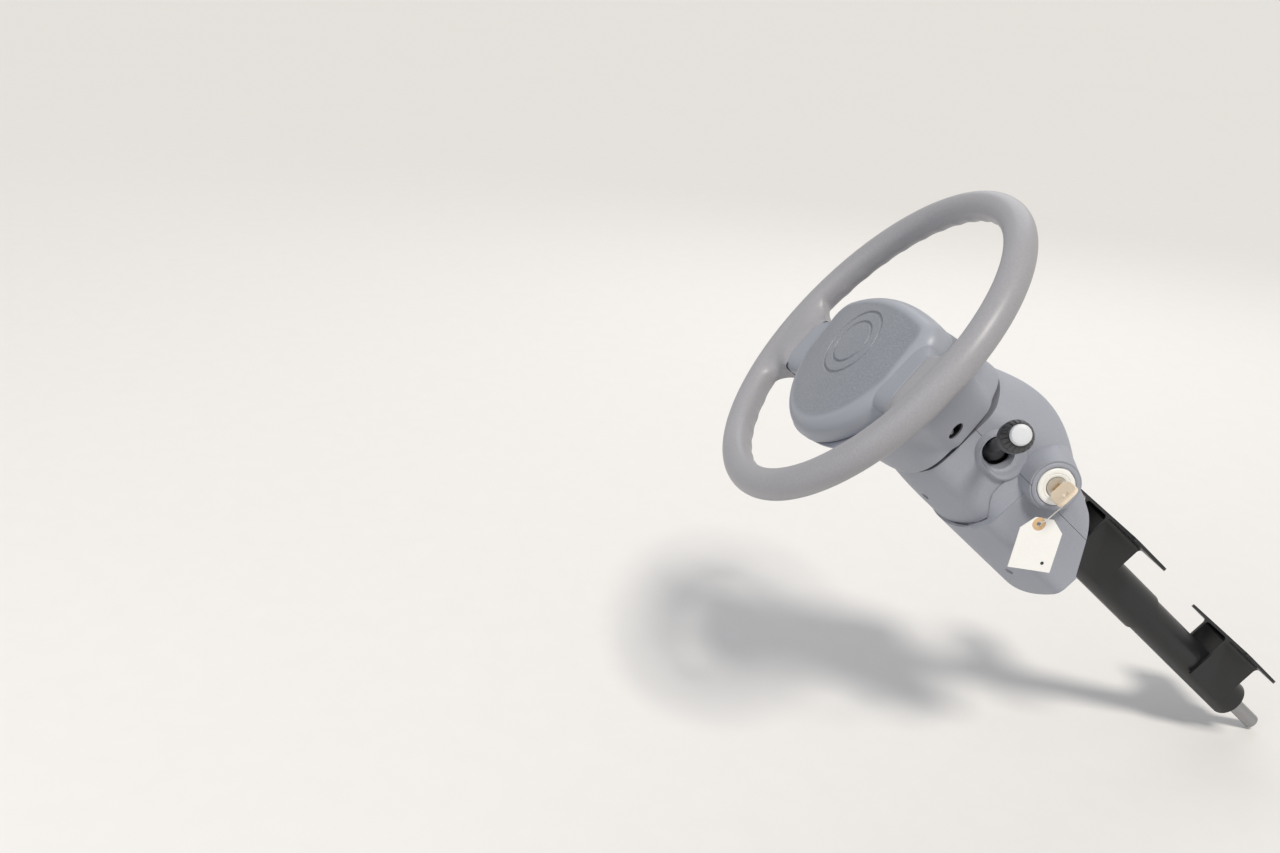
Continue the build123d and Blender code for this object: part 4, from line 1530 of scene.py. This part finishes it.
@dataclass
class StepWeb(Modeller):
    """Sloping web that runs the drum of the covers out to the wider tail, below the lock.

    Args:
        sections: For each section its height, how far it is drawn out, from 0 to 1, and its distance in.
        slope: Distance out and station of the slope's points.
        level: Station that the slope is drawn flat to.
        heel: Distance out of the rear face's outer edge.
        foot: Distance out of the inner edge.
        rear: Station of the rear face.
        inner_edge: Station of the inner edge's front, and how far it is drawn out.
    """

    sections: Rows = ((-56.5, 0.0, 19.2), (-54.0, 0.0, 15.4), (-51.0, 0.0, 11.1), (-48.0, 0.0, 7.4),
                      (-45.0, 0.0, 4.6), (-42.0, 0.0, 2.7), (-40.0, 0.0, 1.8), (-37.0, 0.12, 0.8),
                      (-32.0, 0.4, 0.1), (-26.0, 0.74, 0.0), (-20.0, 0.94, 0.0), (-12.0, 1.0, 0.0),
                      (-4.0, 1.0, 0.0), (4.0, 1.0, 0.0), (9.0, 1.0, 0.0))
    slope: Rows = ((75.1, -164.0), (76.6, -169.0), (79.2, -173.6), (82.6, -177.4), (86.0, -180.2), (87.0, -182.0))
    level: float = -181.0
    heel: float = 84.0
    foot: float = 73.4
    rear: float = -183.0
    inner_edge: Pair = (-182.2, 12.0)

    def build(self) -> None:
        """Builds the web."""
        start, rise = self.inner_edge
        loops = []
        for height, share, inset in self.sections:
            points = [(x, self.level + (z - self.level) * share) for x, z in self.slope]
            points += [(self.heel, self.rear), (self.foot, self.rear), (self.foot, start + rise * share)]
            loops.append([Vector((x - inset, height, z)) for x, z in points])
        self.settle(self.skin("step_web", loops, (True, True)), COVER_ABS, "cover", smooth=50.0)


@dataclass
class Studio:
    """Plain floor, soft lamps and the camera; lengths are in metres.

    Args:
        floor_size: Side of the floor.
        floor_gap: Space left under the object.
        camera_place: The camera's place.
        camera_right: Direction to the right of the frame.
        camera_up: Direction to the top of the frame.
        lens: Focal length in mm.
        sensor: Width of the sensor in mm.
        lamps: Name, place, side, power in watts and colour of the area lamps.
        target: Place that the lamps face.
        key_from: Direction that the broad key light comes from.
        key_strength: Strength of the key light.
        key_breadth: Its breadth, in degrees.
        key_colour: Its colour.
        world_strength: Strength of the light from all round.
        world_colour: Its colour.
        backdrop_colour: Colour that the camera and reflections see behind the object.
    """

    floor_size: float = 80.0
    floor_gap: float = 0.002
    camera_place: Triple = (1.2337, -0.6731, 0.5331)
    camera_right: Triple = (0.1261, 0.9906, 0.0540)
    camera_up: Triple = (-0.3341, -0.0088, 0.9425)
    lens: float = 39.375
    sensor: float = 36.0
    lamps: tuple[tuple[str, Triple, float, float, str], ...] = (
        ("fill_lamp", (0.9, -2.0, 1.0), 1.8, 10.0, "#f2f6ff"), ("back_lamp", (-1.8, 0.6, 1.5), 1.6, 10.0, "#f6f8ff"))
    target: Triple = (0, -0.2, 0.1)
    key_from: Triple = (1.2, 0.3, 1.9)
    key_strength: float = 2.2
    key_breadth: float = 14.0
    key_colour: str = "#fffaf2"
    world_strength: float = 0.55
    world_colour: str = "#e4e6ea"
    backdrop_colour: str = "#dddbd7"

    def hang(self, name: str, data: bpy.types.ID) -> Piece:
        """Adds a lamp or the camera to the scene.

        Args:
            name: Its name.
            data: Its data.

        Returns:
            The object.
        """
        holder = bpy.data.objects.new(name, data)
        bpy.context.scene.collection.objects.link(holder)
        return holder

    def camera(self) -> None:
        """Places the camera at the photograph's viewing angle."""
        data = bpy.data.cameras.new("camera")
        data.sensor_width = self.sensor
        data.lens = self.lens
        camera = self.hang("camera", data)
        right, up = Vector(self.camera_right).normalized(), Vector(self.camera_up).normalized()
        turn = Matrix((right, up, right.cross(up))).transposed()
        camera.matrix_world = Matrix.Translation(self.camera_place) @ turn.to_4x4()
        bpy.context.scene.camera = camera

    def floor(self, lowest: float) -> None:
        """Lays the floor just under the object.

        Args:
            lowest: Height of the object's lowest point.
        """
        bpy.ops.mesh.primitive_plane_add(size=self.floor_size, location=(0, 0, lowest - self.floor_gap))
        floor = bpy.context.object
        floor.name = "floor"
        floor.data.materials.append(FLOOR_PAPER.shared())
        floor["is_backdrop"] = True

    def light(self) -> None:
        """Hangs the lamps and sets the world."""
        for name, place, side, power, colour in self.lamps:
            lamp = bpy.data.lights.new(name, "AREA")
            lamp.size = side
            lamp.energy = power
            lamp.color = linear(colour)[:3]
            holder = self.hang(name, lamp)
            holder.location = place
            holder.rotation_euler = (Vector(self.target) - Vector(place)).to_track_quat("-Z", "Y").to_euler()
        key = bpy.data.lights.new("key_light", "SUN")
        key.energy = self.key_strength
        key.angle = math.radians(self.key_breadth)
        key.color = linear(self.key_colour)[:3]
        self.hang("key_light", key).rotation_euler = (-Vector(self.key_from)).to_track_quat("-Z", "Y").to_euler()
        world = bpy.data.worlds.new("studio")
        bpy.context.scene.world = world
        world.use_nodes = True
        background = world.node_tree.nodes["Background"]
        background.inputs["Color"].default_value = linear(self.world_colour)
        background.inputs["Strength"].default_value = self.world_strength
        self.backdrop(world.node_tree, background)
        bpy.context.scene.view_settings.view_transform = "Standard"

    def backdrop(self, tree: Tree, light: bpy.types.Node) -> None:
        """Shows a pale backdrop to the camera and in reflections, and leaves the light as it is.

        Args:
            tree: The world's tree.
            light: The background that lights the object.
        """
        ray = add_node(tree, "LightPath").outputs
        seen = add_node(tree, "Math", {"operation": "MAXIMUM"}, {0: ray["Is Camera Ray"], 1: ray["Is Glossy Ray"]})
        shown = add_node(tree, "Math", {"operation": "MAXIMUM"},
                         {0: seen.outputs[0], 1: ray["Is Transmission Ray"]})
        pale = add_node(tree, "Background", {"Color": linear(self.backdrop_colour), "Strength": 1.0})
        mix = add_node(tree, "MixShader", None, {0: shown.outputs[0], 1: light.outputs[0], 2: pale.outputs[0]})
        tree.links.new(mix.outputs[0], tree.nodes["World Output"].inputs["Surface"])


def dress_nodes(nodes: dict) -> None:
    """Gives the frame's own nodes their finishes.

    Args:
        nodes: The frame's objects by name.
    """
    for finish, names in NODE_FINISHES.items():
        for name in names:
            materials = nodes[name].data.materials
            materials.clear()
            materials.append(finish.shared())
            LOG.info("%s: %s", name, finish.name)


def main() -> None:
    """Builds every sub-assembly in order."""
    logging.basicConfig(level=logging.INFO, format="%(name)s %(message)s", stream=sys.stdout)
    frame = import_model()
    cad_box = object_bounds()
    bpy.ops.object.select_all(action="DESELECT")
    studio = Studio()
    studio.camera()
    dress_nodes(frame["nodes"])
    for assembly in (Tag(), Rim(), Pad(), HubCover(), Stalk(1), Stalk(-1), PortLip(1), PortLip(-1), Lock(),
                     StepWeb(), CoverScrews()):
        assembly.build()
    studio.floor(cad_box[0].z)
    studio.light()


if __name__ == "__main__":
    main()
